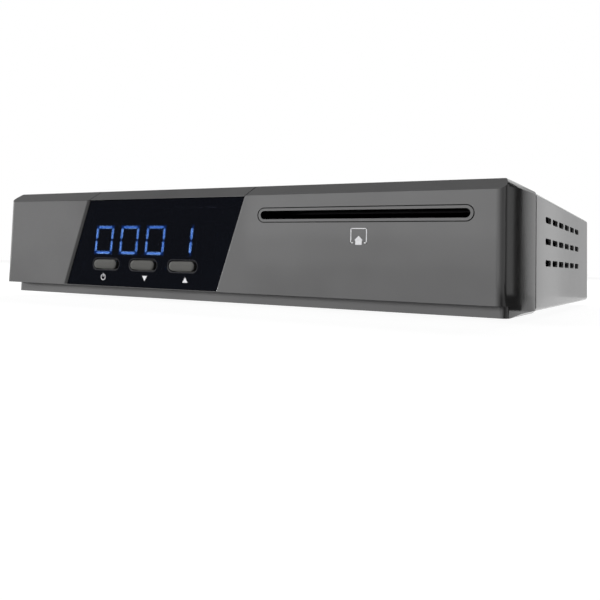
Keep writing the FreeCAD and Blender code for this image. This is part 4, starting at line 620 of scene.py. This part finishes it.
CROWN, CAP_BACK = 0.3, 2.7
FLANGE_FRONT, FLANGE_BACK, FLANGE_LOW, FLANGE_HIGH, FLANGE_REACH = 2.1, 2.9, 7.1, 11.225, 5.65
STEM_Z, STEM_RADIUS, STEM_END = 8.6, 1.5, 6.85
button_paint = moulded("button_plastic", (0.125, 0.125, 0.119), 0.38, 3000)
cap = pill("button_cap", (0, BUTTON_Z), BUTTON_WIDTH, BUTTON_HEIGHT, CROWN, CAP_BACK, 10)
work_on(cap)
pick("faces", lambda face: face.normal.y < -0.9)
bpy.ops.mesh.inset(thickness=0.0007, depth=0)
bpy.ops.transform.translate(value=(0, -CROWN / 1000, 0))
bpy.ops.object.mode_set(mode="OBJECT")
flange = block("button_flange", at(-FLANGE_REACH, FLANGE_FRONT, FLANGE_LOW),
               at(FLANGE_REACH, FLANGE_BACK, FLANGE_HIGH))
combine(cap, flange, "UNION")
combine(cap, post("button_stem", "Y", (0, STEM_Z), FLANGE_BACK - 0.1, STEM_END, STEM_RADIUS, 24), "UNION")
soften(cap, 0.1)
for name, x in BUTTONS:
    button = cap.copy()
    button.data = cap.data.copy()
    button.data.transform(Matrix.Translation((x / 1000, 0, 0)))
    button.name = f"{name}_cap"
    scene.collection.objects.link(button)
    finish(button, button_paint, f"button_{name}", [f"button_{name}"])
bpy.data.objects.remove(cap)

# ---- Button guide, switches and their plungers ----
# A black plate keeps the stems straight. Behind it are three square tact switches, soldered to the front
# board, each with an orange plunger that the stem presses.

black_plastic = moulded("black_plastic", (0.014, 0.014, 0.015), 0.5, 2500, 0.1)
coat(black_plastic, "button_guide", "switch_housings")
coat(moulded("plunger_plastic", (0.55, 0.12, 0.02), 0.4), *(f"switch_plunger_{name}" for name, x in BUTTONS))

# ---- Front board, display and infrared receiver ----
# A green circuit board screwed to the bezel's bosses. It carries the four-digit display, whose lit segments
# are blue light guides in a black block, and the dark dome that sees the remote control.


def circuit_board(name, axes, tint=(0.006, 0.07, 0.03), lanes=900):
    """Solder mask over copper lanes that run along one axis or the other, in patches, with small pads."""
    paint, tree, output = empty_material(name)
    place = add(tree, "TexCoord").outputs["Object"]
    parts = add(tree, "SeparateXYZ")
    patches = add(tree, "TexVoronoi", Scale=90)
    flat = add(tree, "SeparateColor")
    along = add(tree, "Mix")
    link(tree, (place, parts.inputs[0]), (place, patches.inputs["Vector"]),
         (patches.outputs["Color"], flat.inputs[0]),
         (calculate(tree, "GREATER_THAN", flat.outputs[0], 0.5), along.inputs["Factor"]),
         (parts.outputs[axes[0]], along.inputs["A"]), (parts.outputs[axes[1]], along.inputs["B"]))
    lane = calculate(tree, "FRACT", calculate(tree, "MULTIPLY", along.outputs["Result"], lanes))
    shown = calculate(tree, "MULTIPLY", calculate(tree, "LESS_THAN", lane, 0.45),
                      calculate(tree, "GREATER_THAN", flat.outputs[1], 0.4))
    pads = add(tree, "TexVoronoi", Scale=330, Randomness=0.25)
    mask = add(tree, "Mix")
    mask.data_type = "RGBA"
    mask.inputs["A"].default_value = (*tint, 1)
    mask.inputs["B"].default_value = (tint[0] * 1.7 + 0.01, tint[1] * 1.5, tint[2] * 1.6, 1)
    metal = add(tree, "Mix")
    metal.data_type = "RGBA"
    metal.inputs["B"].default_value = (0.62, 0.6, 0.52, 1)
    shader = add(tree, "BsdfPrincipled", Roughness=0.32)
    bump = add(tree, "Bump", Distance=0.00003, Strength=0.5)
    link(tree, (shown, mask.inputs["Factor"]), (place, pads.inputs["Vector"]),
         (calculate(tree, "LESS_THAN", pads.outputs["Distance"], 0.12), metal.inputs["Factor"]),
         (mask.outputs["Result"], metal.inputs["A"]), (metal.outputs["Result"], shader.inputs["Base Color"]),
         (shown, bump.inputs["Height"]), (bump.outputs[0], shader.inputs["Normal"]),
         (shader.outputs[0], output.inputs["Surface"]))
    return paint


def glowing(name, tint, strength, base):
    """Light-guide plastic that glows a little unevenly along its length."""
    paint, tree, output = empty_material(name)
    shader = add(tree, "BsdfPrincipled", Base_Color=(*base, 1), Emission_Strength=strength)
    texture = grained(tree, Size=900, Depth=0.02, Tint=(*tint, 1), Mottle=0.04, Sheen=0.4)
    link(tree, (texture["Color"], shader.inputs["Emission Color"]),
         (texture["Roughness"], shader.inputs["Roughness"]), (shader.outputs[0], output.inputs["Surface"]))
    return paint


def as_one(pieces, name):
    """Joins like pieces into one object."""
    clear_selection()
    for piece in pieces:
        piece.select_set(True)
    bpy.context.view_layer.objects.active = pieces[0]
    bpy.ops.object.join()
    pieces[0].name = name
    return pieces[0]


coat(circuit_board("front_board_mask", ("X", "Z")), "front_board")

DIGITS_X, DIGITS_Z, DIGIT_PITCH, DIGIT_LEAN = -25.45, 17.25, 10.1, math.tan(math.radians(5))
DIGITS_FRONT, DIGITS_BACK = 2.3, 2.55
STROKE_X, STROKE_Z, STROKE = 3.15, 3.9, 0.88
level_stroke = pill("level_stroke", (0, 0), 2 * STROKE_X - 0.95, STROKE, DIGITS_FRONT, DIGITS_BACK, 4)
upright_stroke = pill("upright_stroke", (0, 0), STROKE_Z - 0.72, STROKE, DIGITS_FRONT, DIGITS_BACK, 4)
upright_stroke.data.transform(Matrix.Translation(at(0, 0, 0)) @ Matrix.Rotation(math.pi / 2, 4, "Y")
                              @ Matrix.Translation(-at(0, 0, 0)))
strokes = {"a": (level_stroke, 0, STROKE_Z), "b": (upright_stroke, STROKE_X, STROKE_Z / 2),
           "c": (upright_stroke, STROKE_X, -STROKE_Z / 2), "d": (level_stroke, 0, -STROKE_Z),
           "e": (upright_stroke, -STROKE_X, -STROKE_Z / 2), "f": (upright_stroke, -STROKE_X, STROKE_Z / 2)}
digits = []
for number, letters in enumerate(("abcdef", "abcdef", "abcdef", "bc")):
    digit_x = DIGITS_X + (number - 1.5) * DIGIT_PITCH
    for letter in letters:
        stroke, across, up = strokes[letter]
        piece = stroke.copy()
        piece.data = stroke.data.copy()
        piece.data.transform(Matrix.Translation((across / 1000, 0, up / 1000)))
        for corner in piece.data.vertices:
            corner.co.x += DIGIT_LEAN * (corner.co.z - at(0, 0, 0).z)
        piece.data.transform(Matrix.Translation((digit_x / 1000, 0, DIGITS_Z / 1000)))
        scene.collection.objects.link(piece)
        digits.append(piece)
for stroke in (level_stroke, upright_stroke):
    bpy.data.objects.remove(stroke)
finish(as_one(digits, "lit_strokes"), glowing("segment_lit", (0.48, 0.8, 1.0), 42, (0.05, 0.1, 0.3)), "case",
       ["display_lit_segments"])

HALO, HALO_IN_GAPS = 0.0009, 0.08


def digit_halo(tree):
    """Painted light on the black block: full beside the strokes, faint in the gaps between them."""
    def work(kind, first, second=0):
        return calculate(tree, kind, first, second)

    parts = add(tree, "SeparateXYZ")
    tree.links.new(add(tree, "TexCoord").outputs["Object"], parts.inputs[0])
    up = work("SUBTRACT", parts.outputs["Z"], at(0, 0, DIGITS_Z).z)
    from_middle = work("SUBTRACT", parts.outputs["X"], DIGITS_X / 1000)
    across = work("SUBTRACT", from_middle, work("MULTIPLY", up, DIGIT_LEAN))
    count = work("ADD", work("DIVIDE", across, DIGIT_PITCH / 1000), 2)
    inside = work("MULTIPLY", work("SUBTRACT", work("FRACT", count), 0.5), DIGIT_PITCH / 1000)
    over = work("SUBTRACT", work("ABSOLUTE", up), STROKE_Z / 1000)
    beside = work("SUBTRACT", work("ABSOLUTE", inside), STROKE_X / 1000)
    from_ring = work("ABSOLUTE", work("MAXIMUM", over, beside))
    from_line = work("MAXIMUM", over, work("ABSOLUTE", work("SUBTRACT", inside, STROKE_X / 1000)))
    last = work("GREATER_THAN", count, 3)
    others = work("SUBTRACT", 1, last)
    away = work("ADD", work("MULTIPLY", from_ring, others), work("MULTIPLY", from_line, last))
    near = work("MAXIMUM", work("SUBTRACT", 1, work("DIVIDE", away, HALO)), 0)
    from_corner = work("MAXIMUM", work("ABSOLUTE", over), work("ABSOLUTE", beside))
    gap = work("MINIMUM", work("ABSOLUTE", up), from_corner)
    bright = work("MINIMUM", work("ADD", work("DIVIDE", gap, HALO), HALO_IN_GAPS), 1)
    return work("MULTIPLY", work("POWER", near, 3), bright)


# Painted light: the black block glows blue round the lit strokes, where their light would spill onto it.
paint, tree, output = empty_material("display_black")
shader = add(tree, "BsdfPrincipled", Emission_Strength=17)
texture = grained(tree, Size=2200, Depth=0.05, Tint=(0.004, 0.004, 0.005, 1), Mottle=0.05, Sheen=0.6)
halo = add(tree, "VectorMath")
halo.operation = "SCALE"
halo.inputs[0].default_value = (0.02, 0.25, 1.0)
link(tree, (digit_halo(tree), halo.inputs["Scale"]), (halo.outputs[0], shader.inputs["Emission Color"]),
     (texture["Color"], shader.inputs["Base Color"]), (texture["Roughness"], shader.inputs["Roughness"]),
     (texture["Normal"], shader.inputs["Normal"]), (shader.outputs[0], output.inputs["Surface"]))
coat(paint, "display_housing")
coat(moulded("segment_dark", (0.02, 0.022, 0.03), 0.5), "display_dark_segments")
coat(moulded("infrared_black", (0.02, 0.01, 0.014), 0.12, 300, 0.02), "infrared_receiver")

# ---- Printed marks ----
# Pale ink, screen-printed on the window and the bezel: a standby ring, arrows for channel down and up, and
# below the card slot a frame with an arrow that points up at it.

ink = moulded("pale_ink", (0.9, 0.9, 0.92), 0.5, 3500)
INK, SUNK = 0.02, 0.005


def bar(name, low, high, front):
    return block(name, at(low[0], front - INK, low[1]), at(high[0], front + SUNK, high[1]))


def arrow(name, centre, width, height, front, up):
    """A printed triangle that points up or down: a bar whose far end is drawn together."""
    x, z = centre
    shape = bar(name, (x - width / 2, z - height / 2), (x + width / 2, z + height / 2), front)
    stretch(shape, lambda corner: (middle(corner).z > z) == up, (0.02, 1, 1), (x, front, z))
    return shape


def print_on(shape, name):
    shape.name = name
    finish(shape, ink, "case")


RING_X, RING_Z, RING_RADIUS, RING_LINE = -39.2, 5.8, 0.95, 0.22
ring = post("ring", "Y", (RING_X, RING_Z), PANE_FRONT - INK, PANE_FRONT + SUNK, RING_RADIUS, 40)
hole = post("ring_middle", "Y", (RING_X, RING_Z), PANE_FRONT - 1, PANE_FRONT + 1, RING_RADIUS - RING_LINE, 40)
combine(ring, hole, "DIFFERENCE")
combine(ring, block("ring_gap", at(RING_X - 0.34, -1, RING_Z + 0.4), at(RING_X + 0.34, 2, 8)), "DIFFERENCE")
print_on(ring, "mark_standby_ring")
standby_bar = bar("bar", (RING_X - RING_LINE / 2, 5.95), (RING_X + RING_LINE / 2, 7), PANE_FRONT)
print_on(standby_bar, "mark_standby_bar")
ARROW_Z, ARROW_WIDTH, ARROW_HEIGHT = 5.9, 1.9, 1.5
for name, x, up in (("channel_down", -22.8, False), ("channel_up", -7.8, True)):
    print_on(arrow("arrow", (x, ARROW_Z), ARROW_WIDTH, ARROW_HEIGHT, PANE_FRONT, up), f"mark_{name}")

LEFT, RIGHT, LOW, HIGH, LINE, FOOT = 44, 48.45, 16.9, 20.7, 0.22, 0.75
for name, low, high in (
        ("top", (LEFT, HIGH - LINE), (RIGHT, HIGH)), ("left", (LEFT, LOW), (LEFT + LINE, HIGH)),
        ("right", (RIGHT - LINE, LOW), (RIGHT, HIGH)), ("left_foot", (LEFT, LOW), (LEFT + FOOT, LOW + LINE)),
        ("right_foot", (RIGHT - FOOT, LOW), (RIGHT, LOW + LINE)), ("chip", (45.35, 16.5), (47.1, 17.7))):
    print_on(bar(name, low, high, 0), f"mark_card_{name}")
print_on(arrow("arrow", (46.23, 18.2), 2.3, 1.1, 0, True), "mark_card_arrow")

# ---- Case cover ----
# One sheet of steel folded into a U and painted light grey. Its front edge is rolled, lies in a shadow gap and
# carries painted shade, its lower edges are hemmed in under the pan, and a flange at the back takes three
# screws. Three rows of round-ended vents are punched through each side.

COVER_FRONT, COVER_LOW, SHEET, HEM = SEAM + 0.65, 0.33, 0.8, 6.5
FOLD, ROLL = 1.3, 0.4
cover = block("case_cover", at(-HALF, COVER_FRONT, COVER_LOW), at(HALF, DEPTH, HEIGHT))
bevel_edges(cover, lambda edge: runs(edge, (0, 1, 0)), FOLD, 5)
bevel_edges(cover, lambda edge: all(at_depth(end, COVER_FRONT) for end in edge.verts), ROLL, 4)
inside = block("cover_inside", at(-HALF + SHEET, SEAM - 1, COVER_LOW + SHEET),
               at(HALF - SHEET, DEPTH + 1, HEIGHT - SHEET))
bevel_edges(inside, lambda edge: runs(edge, (0, 1, 0)), FOLD - SHEET, 3)
combine(cover, inside, "DIFFERENCE")
between = block("between_hems", at(-HALF + HEM, SEAM - 1, -1), at(HALF - HEM, DEPTH + 1, 2))
combine(cover, between, "DIFFERENCE")
VENT_LENGTH, VENT_HEIGHT, VENT_ROUND = 9.4, 1.8, 0.88
VENT_START, VENT_PITCH, VENT_LOW, VENT_ROW = 54.5, 12, 13.6, 6.25
vents = []
for row in range(3):
    for number in range(6):
        y, z = VENT_START + VENT_PITCH * number, VENT_LOW + VENT_ROW * row
        vent = block("vent", at(-HALF - 2, y - VENT_LENGTH / 2, z - VENT_HEIGHT / 2),
                     at(HALF + 2, y + VENT_LENGTH / 2, z + VENT_HEIGHT / 2))
        bevel_edges(vent, lambda edge: runs(edge, (1, 0, 0)), VENT_ROUND, 5)
        vents.append(vent)
combine(cover, as_one(vents, "vents"), "DIFFERENCE")
FLANGE_EDGE, COVER_SCREW_Z = 26, 28.9
flange = block("rear_flange", at(-HALF + HEM, DEPTH - SHEET, FLANGE_EDGE),
               at(HALF - HEM, DEPTH, HEIGHT - SHEET / 2))
for x in SCREWS:
    screw_hole = post("screw_hole", "Y", (x, COVER_SCREW_Z), DEPTH - 3, DEPTH + 3, SCREW_HOLE)
    combine(flange, screw_hole, "DIFFERENCE")
combine(cover, flange, "UNION")
soften(cover, 0.1)
lit_from_the_side.objects.link(cover)
finish(cover, moulded("case_paint", (0.42, 0.42, 0.422), 0.13, 1500, 0.1, 0.03, metallic=0.05), "case",
       ["top_cover"])
# Painted shade: the rolled front edge is painted near black, as the shade of the gap behind the bezel.
cover.data.materials.append(shadow_paint)
for face in cover.data.polygons:
    if millimetres(face.center).y < COVER_FRONT + ROLL - 0.01:
        face.material_index = 1

# ---- Pan with the rear panel, feet and case screws ----
# Zinc-plated sheet steel: the floor, the front tongue that slides into the bezel and the punched rear panel.
# Four rubber feet are pressed through it, and black screws hold the cover and the bezel.


def plated(name, tint, sheen):
    """Bare or plated metal."""
    return moulded(name, tint, sheen, 900, 0.08, 0.1, metallic=1)


paint, tree, output = empty_material("zinc_plate")
shader = add(tree, "BsdfPrincipled", Metallic=1)
texture = grained(tree, Size=900, Depth=0.08, Tint=(0.34, 0.345, 0.355, 1), Mottle=0.06, Sheen=0.36)
crystals = add(tree, "TexVoronoi", Scale=260)
shade = add(tree, "SeparateColor")
bright = add(tree, "MapRange", To_Min=0.88, To_Max=1.12)
spangled = add(tree, "VectorMath")
spangled.operation = "SCALE"
dull = add(tree, "MapRange", To_Min=0.3, To_Max=0.46)
link(tree, (add(tree, "TexCoord").outputs["Object"], crystals.inputs["Vector"]),
     (crystals.outputs["Color"], shade.inputs[0]), (shade.outputs[0], bright.inputs["Value"]),
     (shade.outputs[1], dull.inputs["Value"]), (texture["Color"], spangled.inputs[0]),
     (bright.outputs[0], spangled.inputs["Scale"]), (spangled.outputs[0], shader.inputs["Base Color"]),
     (dull.outputs[0], shader.inputs["Roughness"]), (texture["Normal"], shader.inputs["Normal"]),
     (shader.outputs[0], output.inputs["Surface"]))
coat(paint, "base_pan")

FOOT_X, FOOT_FRONT, FOOT_BACK = 62, 48, 130
FOOT_LOW, FOOT_HIGH, FOOT_RADIUS = -BOTTOM, 1.13, 5
PEG_LOW, PEG_HIGH, PEG_RADIUS = 1.93, 2.93, 2.2
feet = []
for x in (-FOOT_X, FOOT_X):
    for y in (FOOT_FRONT, FOOT_BACK):
        foot = post("foot", "Z", (x, y), FOOT_LOW, FOOT_HIGH, FOOT_RADIUS, 40)
        stretch(foot, lambda corner: middle(corner).z < 0, (0.9, 0.9, 1), (x, y, FOOT_LOW))
        work_on(foot)
        pick("faces", lambda face: face.normal.z < -0.9)
        bpy.ops.mesh.inset(thickness=0.0009, depth=0)
        bpy.ops.mesh.inset(thickness=0.0004, depth=-0.0003)
        bpy.ops.object.mode_set(mode="OBJECT")
        bevel_edges(foot, lambda edge: all(middle(end).z < FOOT_LOW + 0.1 for end in edge.verts)
                    and (middle(edge) - Vector((x, y, FOOT_LOW))).length > FOOT_RADIUS - 0.8, 0.3, 3)
        neck = post("foot_neck", "Z", (x, y), 1, 2.2, 1.45, 24)
        combine(neck, post("foot_peg", "Z", (x, y), PEG_LOW, PEG_HIGH, PEG_RADIUS, 24), "UNION")
        stretch(neck, lambda corner: middle(corner).z > PEG_HIGH - 0.03, (0.6, 0.6, 1), (x, y, PEG_HIGH))
        combine(foot, neck, "UNION")
        soften(foot, 0)
        feet.append(foot)
finish(as_one(feet, "moulded_feet"), moulded("foot_rubber", (0.018, 0.018, 0.018), 0.85, 1800, 0.3), "case",
       ["rubber_feet"])

HEAD_RADIUS, HEAD_HEIGHT, HEAD_ROUND = 2.5, 1.4, 0.8
SHANK_RADIUS, SHANK_LENGTH, FRONT_SHANK_TOP = 1.25, 4.6, 4.4
RECESS = Vector((0.0014, 0.0003, 0.0008))


def cross_screw(axis, centre, low, high, shank_to, spin):
    """A pan-head screw with a cross recess, its head from low to high along the axis and its rim rounded."""
    outer = high if shank_to < low else low
    face = (centre[0], outer, centre[1]) if axis == "Y" else (*centre, outer)
    direction = "XYZ".index(axis)
    head = post("screw", axis, centre, low, high, HEAD_RADIUS, 40)
    bevel_edges(head, lambda edge: abs(middle(edge)[direction] - outer) < 0.001, HEAD_ROUND, 5)
    for turn in (spin, spin + math.pi / 2):
        arm = block("arm", -RECESS, RECESS)
        arm.data.transform(Matrix.Rotation(turn, 4, "Z"))
        if axis == "Y":
            arm.data.transform(Matrix.Rotation(math.pi / 2, 4, "X"))
        arm.data.transform(Matrix.Translation(at(*face)))
        combine(head, arm, "DIFFERENCE")
    shank = post("shank", axis, centre, *sorted((shank_to, (low + high) / 2)), SHANK_RADIUS, 20)
    combine(head, shank, "UNION")
    soften(head, 0.05, 1)
    return head


black_screw = plated("black_oxide", (0.035, 0.035, 0.037), 0.4)
screws = [cross_screw("Y", (x, COVER_SCREW_Z), DEPTH, DEPTH + HEAD_HEIGHT, DEPTH - SHANK_LENGTH, spin)
          for x, spin in zip(SCREWS, (0.3, 0.9, 0.1))]
finish(as_one(screws, "case_screws"), black_screw, "case", ["cover_screws"])
screws = [cross_screw("Z", (x, SCREW_Y), SEAT_TOP - 0.9, SEAT_TOP, FRONT_SHANK_TOP, spin)
          for x, spin in zip(SCREWS, (0.5, 0.2, 1.1))]
finish(as_one(screws, "front_screws"), black_screw, "case", ["bezel_screws"])

# ---- Main board and what stands on it ----
# A green board on brass standoffs with the system chip under its black heatsink, memory, power inductors,
# aluminium capacitors and the tuner's tin-plated can.

coat(circuit_board("board_mask", ("X", "Y")), "main_board", "card_board")
bright_steel = plated("bright_steel", (0.45, 0.45, 0.44), 0.24)
coat(bright_steel, "main_board_standoffs", "card_board_standoffs", "main_board_screws", "card_board_screws",
     "front_board_screws", "tuner_can")
coat(moulded("chip_epoxy", (0.012, 0.012, 0.013), 0.55, 2600, 0.2), "system_chip", "board_chips")
coat(plated("black_anodised", (0.03, 0.03, 0.032), 0.45), "heatsink")
coat(moulded("ferrite", (0.03, 0.03, 0.031), 0.7, 2000, 0.3), "power_inductors")
coat(plated("capacitor_can", (0.5, 0.52, 0.56), 0.3), "capacitors")
coat(moulded("cream_nylon", (0.66, 0.62, 0.5), 0.5), "ribbon_sockets")
coat(moulded("ribbon_film", (0.62, 0.62, 0.6), 0.35, 600, 0.1), "front_ribbon", "card_ribbon")

# ---- Card reader ----
# A black tray under a steel lid on its own raised board, with eight sprung gold contacts and a switch that
# feels the end of the card. The lid is painted near black and the tray barely reflects, as painted shade.

# Painted shade: the tray and the lid are near black with little reflection, so that the slot reads as shade.
coat(moulded("reader_black_painted_shade", (0.004, 0.004, 0.004), 0.8, 2500, 0.1, gloss=1.02), "card_reader_tray")
coat(black_plastic, "card_end_switch")
coat(moulded("reader_lid_painted_shade", (0.02, 0.02, 0.021), 0.7, 1500, 0.1, gloss=1.1), "card_reader_lid")
gold = plated("gold_plate", (0.72, 0.48, 0.16), 0.25)
coat(gold, "card_contacts")

# ---- Rear sockets ----
# The dish's threaded input and its nut, HDMI, SCART, digital audio, USB, the infrared eye's jack and the
# power inlet, all on the main board and all reaching through the rear panel.

AERIAL_X, AERIAL_Z, BARREL_START, BARREL_END, BARREL_RADIUS = -59, 18, 146, 156, 4.76
THREAD_START, THREAD_PITCH, THREADS, THREAD_DEPTH = 146.55, 0.8, 12, 0.09
MOUNT_RADIUS, SHOULDER_RADIUS, BORE = 4.96, 6.36, 2.6
AERIAL = (AERIAL_X, AERIAL_Z)
barrel = post("threaded_barrel", "Y", AERIAL, BARREL_START, BARREL_END, BARREL_RADIUS, 40)
for number in range(THREADS):
    crest = THREAD_START + THREAD_PITCH * number
    valley = crest + THREAD_PITCH / 2
    mark_across(barrel, crest)
    mark_across(barrel, valley)
    stretch(barrel, lambda corner: at_depth(corner, valley), (1 - THREAD_DEPTH, 1, 1 - THREAD_DEPTH),
            (AERIAL_X, valley, AERIAL_Z))
combine(barrel, post("mounting_thread", "Y", AERIAL, 142.4, BARREL_START + 0.4, MOUNT_RADIUS, 40), "UNION")
combine(barrel, post("shoulder", "Y", AERIAL, 141.4, 143.4, SHOULDER_RADIUS, 40), "UNION")
combine(barrel, post("barrel_bore", "Y", AERIAL, 145, 160, BORE, 40), "DIFFERENCE")
soften(barrel, 0, angle=28)
finish(barrel, bright_steel, "case", ["aerial_barrel"])
coat(bright_steel, "aerial_nut", "hdmi_shell", "usb_shell", "audio_collar", "power_pin")
coat(black_plastic, "hdmi_tongue", "usb_tongue", "scart_socket", "audio_socket_block", "infrared_jack",
     "power_jack")
coat(gold, "scart_contacts")
coat(moulded("white_nylon", (0.7, 0.7, 0.68), 0.4), "aerial_insulator")
coat(moulded("orange_nylon", (0.6, 0.16, 0.03), 0.4), "audio_insulator")
